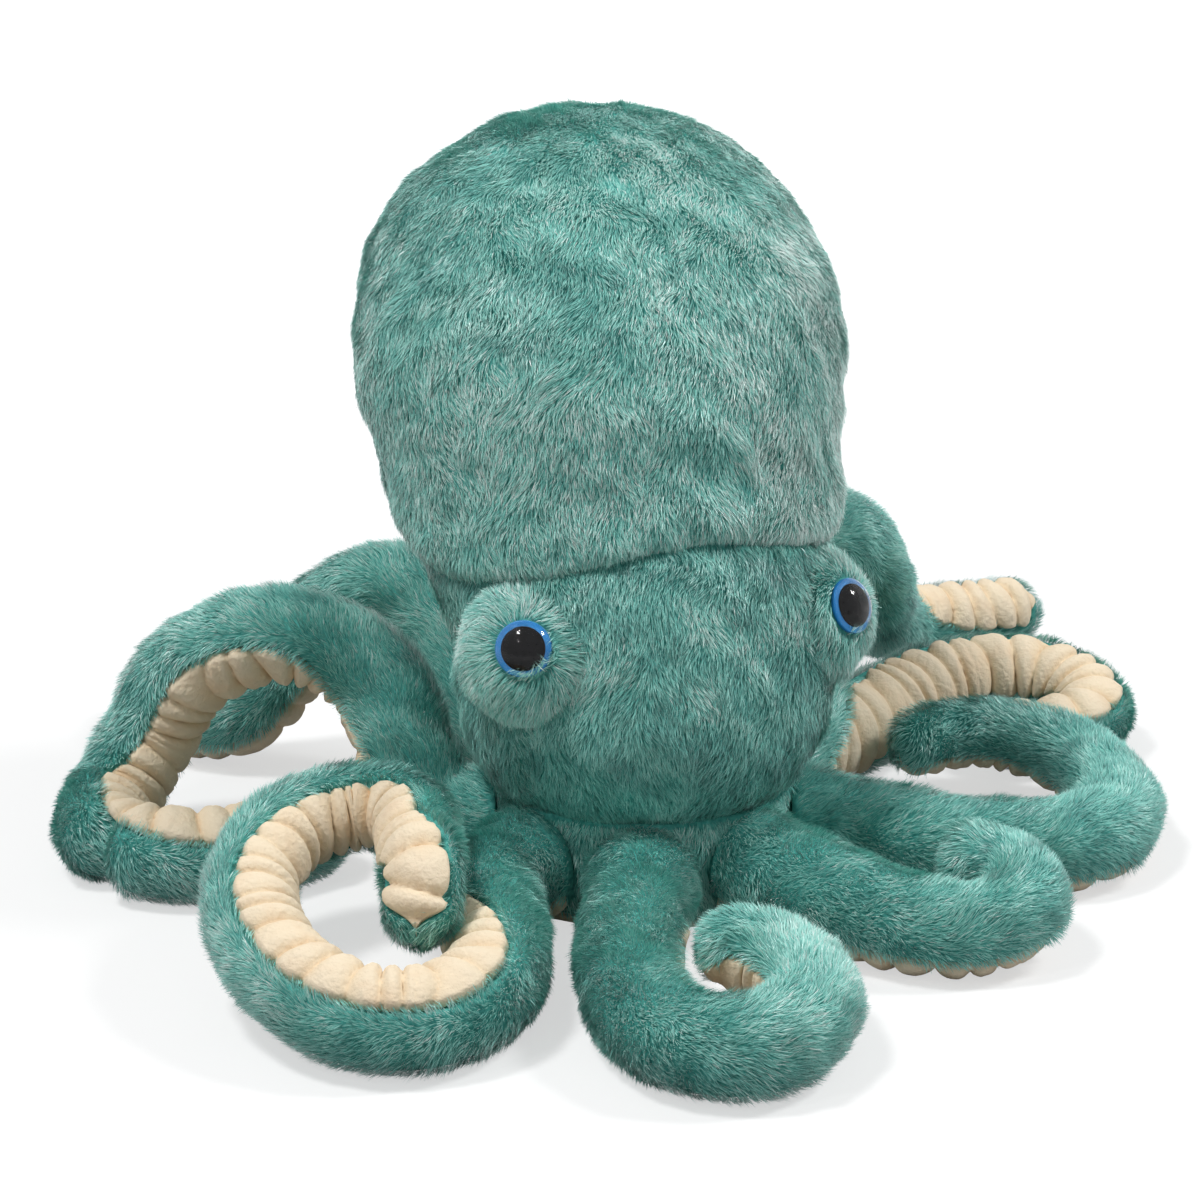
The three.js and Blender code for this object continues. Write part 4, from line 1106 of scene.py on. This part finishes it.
class OCTOPUS_OT_arms(bpy.types.Operator):
    """Make the eight arms: filled cover, puckered strip and pile"""
    bl_idname = "octopus.arms"
    bl_label = "Arms"

    def execute(self, context):
        plush, strip = context.scene.octopus_plush, context.scene.octopus_strip
        for number, (name, (bearing, tip_share, path)) in enumerate(ARM_ROUTES.items()):
            route = ArmRoute(bearing, tip_share, path, ARM_FOLDS.get(name, NO_FOLD))
            seed = 400 + 20 * number
            grid = surface_grid(route.surface(route.filled_depth), route.rows(COVER_PITCH, 14),
                                round_angles(ARM_SIDES))
            cover = tube_mesh(f"arm_{name}_filled", grid)
            dress(cover, shared("teal_backing", backing_material, plush), "teal_plush")
            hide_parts(f"arm_{name}_cover", f"arm_{name}_stuffing")
            strip_piece = self.strip(name, route, strip, seed)
            dress(strip_piece, shared("puckered_velour", velour_material, strip), "cream_velour")
            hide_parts(f"arm_{name}_underside")
            hair = pile(f"arm_{name}_pile", route.surface(route.filled_depth, route.cover_spread),
                        (0.002, 0.998), (-1, 1), plush, plush.arm_density, plush.arm_pile, arm_toward_tip,
                        seed, frost_and_shade_on_arm, ARM_LEANS)
            start, end = (tuple(route.out * (ARM_RING + reach) + UP * ROOT_HEIGHT) for reach in BLEND_REACH)
            for piece in (cover, strip_piece, hair):
                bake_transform(piece)
                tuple(start)
                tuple(end)
        return {"FINISHED"}

    def strip(self, name, route, settings, seed):
        """Puckers outside and a plain lining inside, joined along both edges."""
        shares = route.rows(STRIP_PITCH, 12)
        outer_sides = np.linspace(-1, 1, STRIP_SIDES[0])
        inner_sides = np.linspace(0.95, -0.95, STRIP_SIDES[1])
        puckers = pucker_depth(route, settings, seed)

        def crease_share(drawn):
            """How deep in a crease a place lies, from 0 to 1."""
            return np.clip((drawn + PUCKER_SWELL) / settings.depth, 0, 1)

        def rounded(share, angle):
            """The strip's edges turn in to meet the cover, sooner where it is drawn in."""
            drawn = puckers(share, angle)
            from_middle = np.abs(angle) / np.maximum(route.half_angle(share), 0.03)
            edge = smooth((from_middle - 0.88 + 0.10 * crease_share(drawn)) / 0.12)
            return np.minimum(drawn + edge * EDGE_TURN, STRIP_WALL - 0.5 * MM)

        def lining(share, angle):
            """The strip's inner face lies one fabric down."""
            return np.full_like(angle, STRIP_WALL)

        outer = surface_grid(route.surface(rounded, route.strip_spread), shares, outer_sides)
        outer[..., 2] = np.maximum(outer[..., 2], 0.2 * MM)
        inner = surface_grid(route.surface(lining, route.strip_spread), shares, inner_sides)
        # The map's first coordinate holds how deep each place lies in a crease, which the velour turns into
        # painted shade.
        share, side = np.meshgrid(shares, outer_sides, indexing="ij")
        creases = crease_share(puckers(share, route.strip_spread(share, side)))
        values = np.concatenate([creases, np.zeros(inner.shape[:2])], 1) * 0.98 + 0.01
        return tube_mesh(f"arm_{name}_puckers", np.concatenate([outer, inner], 1), values)


# Stage
SENSOR_WIDTH = 36
FLOOR_HALF = 6.0
LAMP_TARGET = (0.0, 0.0, 0.12)
LAMPS = (
    ("key", (1.25, -0.40, 1.5), 0.42, 19.5),
    ("fill", (-1.2, -0.7, 1.4), 0.2, 2.4),
    ("top", (-0.85, 0.0, 1.9), 0.42, 24.0),
)


class OCTOPUS_OT_stage(bpy.types.Operator):
    """Make the camera, the lamps, the floor and the world"""
    bl_idname = "octopus.stage"
    bl_label = "Stage"

    def execute(self, context):
        scene = context.scene
        scene.view_settings.view_transform = "Standard"
        self.camera(scene, scene.octopus_stage)
        self.lamps(scene)
        self.floor()
        self.world(scene)
        return {"FINISHED"}

    def camera(self, scene, settings):
        """The camera stands back along its direction and is turned to the middle of the view."""
        azimuth = np.radians(settings.azimuth)
        back = aimed(settings.azimuth, settings.elevation)
        right = np.array([np.cos(azimuth), np.sin(azimuth), 0.0])
        target = settings.aim_across * right + settings.aim_up * np.cross(back, right)
        data = bpy.data.cameras.new("camera")
        data.lens = settings.lens
        data.sensor_width = SENSOR_WIDTH
        camera = bpy.data.objects.new("camera", data)
        camera.matrix_world = look_matrix(back * settings.distance, target)
        scene.collection.objects.link(camera)
        scene.camera = camera

    def lamps(self, scene):
        """A key lamp high on the right, a weak one on the left in front and one over the left side."""
        for name, place, size, energy in LAMPS:
            data = bpy.data.lights.new(name, "AREA")
            data.shape = "DISK"
            data.size = size
            data.energy = energy
            lamp = bpy.data.objects.new(name, data)
            lamp.matrix_world = look_matrix(np.array(place), np.array(LAMP_TARGET))
            scene.collection.objects.link(lamp)

    def floor(self):
        """A wide pale floor whose shade shows and whose lit part is white to the camera, brighter away from
        the octopus."""
        corners = ((-1, -1), (1, -1), (1, 1), (-1, 1))
        points = np.array([[x * FLOOR_HALF, y * FLOOR_HALF, 0.0] for x, y in corners])
        floor = set_mesh("floor", points, np.arange(4), np.array([0]), flat=True)
        material, nodes, shader = node_material("floor", (1, 1, 1))
        nodes.feed(shader, {"Base Color": (0.42, 0.42, 0.42, 1), "Roughness": 0.9, "Specular IOR Level": 0.0})
        distance = nodes.add("VectorMath", {0: nodes.place()}, "Value", operation="LENGTH")
        fade = nodes.add("MapRange", {"Value": distance, "From Min": 0.2, "From Max": 0.8, "To Min": 0.60,
                                      "To Max": 1.0}, "Result", interpolation_type="SMOOTHSTEP")
        strength = nodes.add("Math", {0: nodes.straight_rays(), 1: fade}, 0, operation="MULTIPLY")
        glow = nodes.add("Emission", {"Strength": strength}, "Emission")
        both = nodes.add("AddShader", {0: shader.outputs["BSDF"], 1: glow}, 0)
        nodes.feed(nodes.tree.nodes["Material Output"], {"Surface": both})
        floor.data.materials.append(material)

    def world(self, scene):
        """White where the camera, a reflection or a clear piece sees it, and an even soft light elsewhere."""
        world = bpy.data.worlds.new("studio")
        world.use_nodes = True
        nodes = Nodes(world.node_tree)
        shown = world.node_tree.nodes["Background"]
        nodes.feed(shown, {"Color": (1, 1, 1, 1), "Strength": 1.0})
        soft = nodes.add("Background", {"Color": (0.95, 0.98, 1.0, 1), "Strength": 0.24}, "Background")
        seen = nodes.add("MixShader", {"Fac": nodes.straight_rays(), 1: soft, 2: shown.outputs["Background"]},
                         "Shader")
        nodes.feed(world.node_tree.nodes["World Output"], {"Surface": seen})
        scene.world = world


def look_matrix(eye, target):
    """A placement at the eye with its -Z axis towards the target and its Y axis as near up as can be."""
    back = unit(eye - target)
    right = unit(np.cross(UP, back))
    rows = np.eye(4)
    rows[:3] = np.stack([right, np.cross(back, right), back, eye], 1)
    return Matrix(rows.tolist())


class OCTOPUS_PT_panel(bpy.types.Panel):
    """Buttons and settings for the octopus"""
    bl_label = "Octopus"
    bl_idname = "OCTOPUS_PT_panel"
    bl_space_type = "VIEW_3D"
    bl_region_type = "UI"
    bl_category = "Octopus"

    def draw(self, context):
        layout = self.layout
        for operator in OPERATORS:
            layout.operator(operator.bl_idname)
        for name, group in GROUPS.items():
            settings = getattr(context.scene, name)
            for key in group.__annotations__:
                layout.prop(settings, key)


GROUPS = {
    "octopus_plush": PlushSettings,
    "octopus_strip": StripSettings,
    "octopus_eye": EyeSettings,
    "octopus_stage": StageSettings,
}
OPERATORS = (
    OCTOPUS_OT_stage, OCTOPUS_OT_head, OCTOPUS_OT_face, OCTOPUS_OT_foot,
    OCTOPUS_OT_mounds, OCTOPUS_OT_eyes, OCTOPUS_OT_arms,
)


def register():
    for group in (*GROUPS.values(), *OPERATORS, OCTOPUS_PT_panel):
        bpy.utils.register_class(group)
    for name, group in GROUPS.items():
        setattr(bpy.types.Scene, name, PointerProperty(type=group))


def unregister():
    for name in GROUPS:
        delattr(bpy.types.Scene, name)
    for group in reversed((*GROUPS.values(), *OPERATORS, OCTOPUS_PT_panel)):
        bpy.utils.unregister_class(group)


def main():
    register()
    bpy.ops.octopus.stage()
    bpy.ops.octopus.head()
    bpy.ops.octopus.face()
    bpy.ops.octopus.foot()
    bpy.ops.octopus.mounds()
    bpy.ops.octopus.eyes()
    bpy.ops.octopus.arms()


if __name__ == "__main__":
    main()
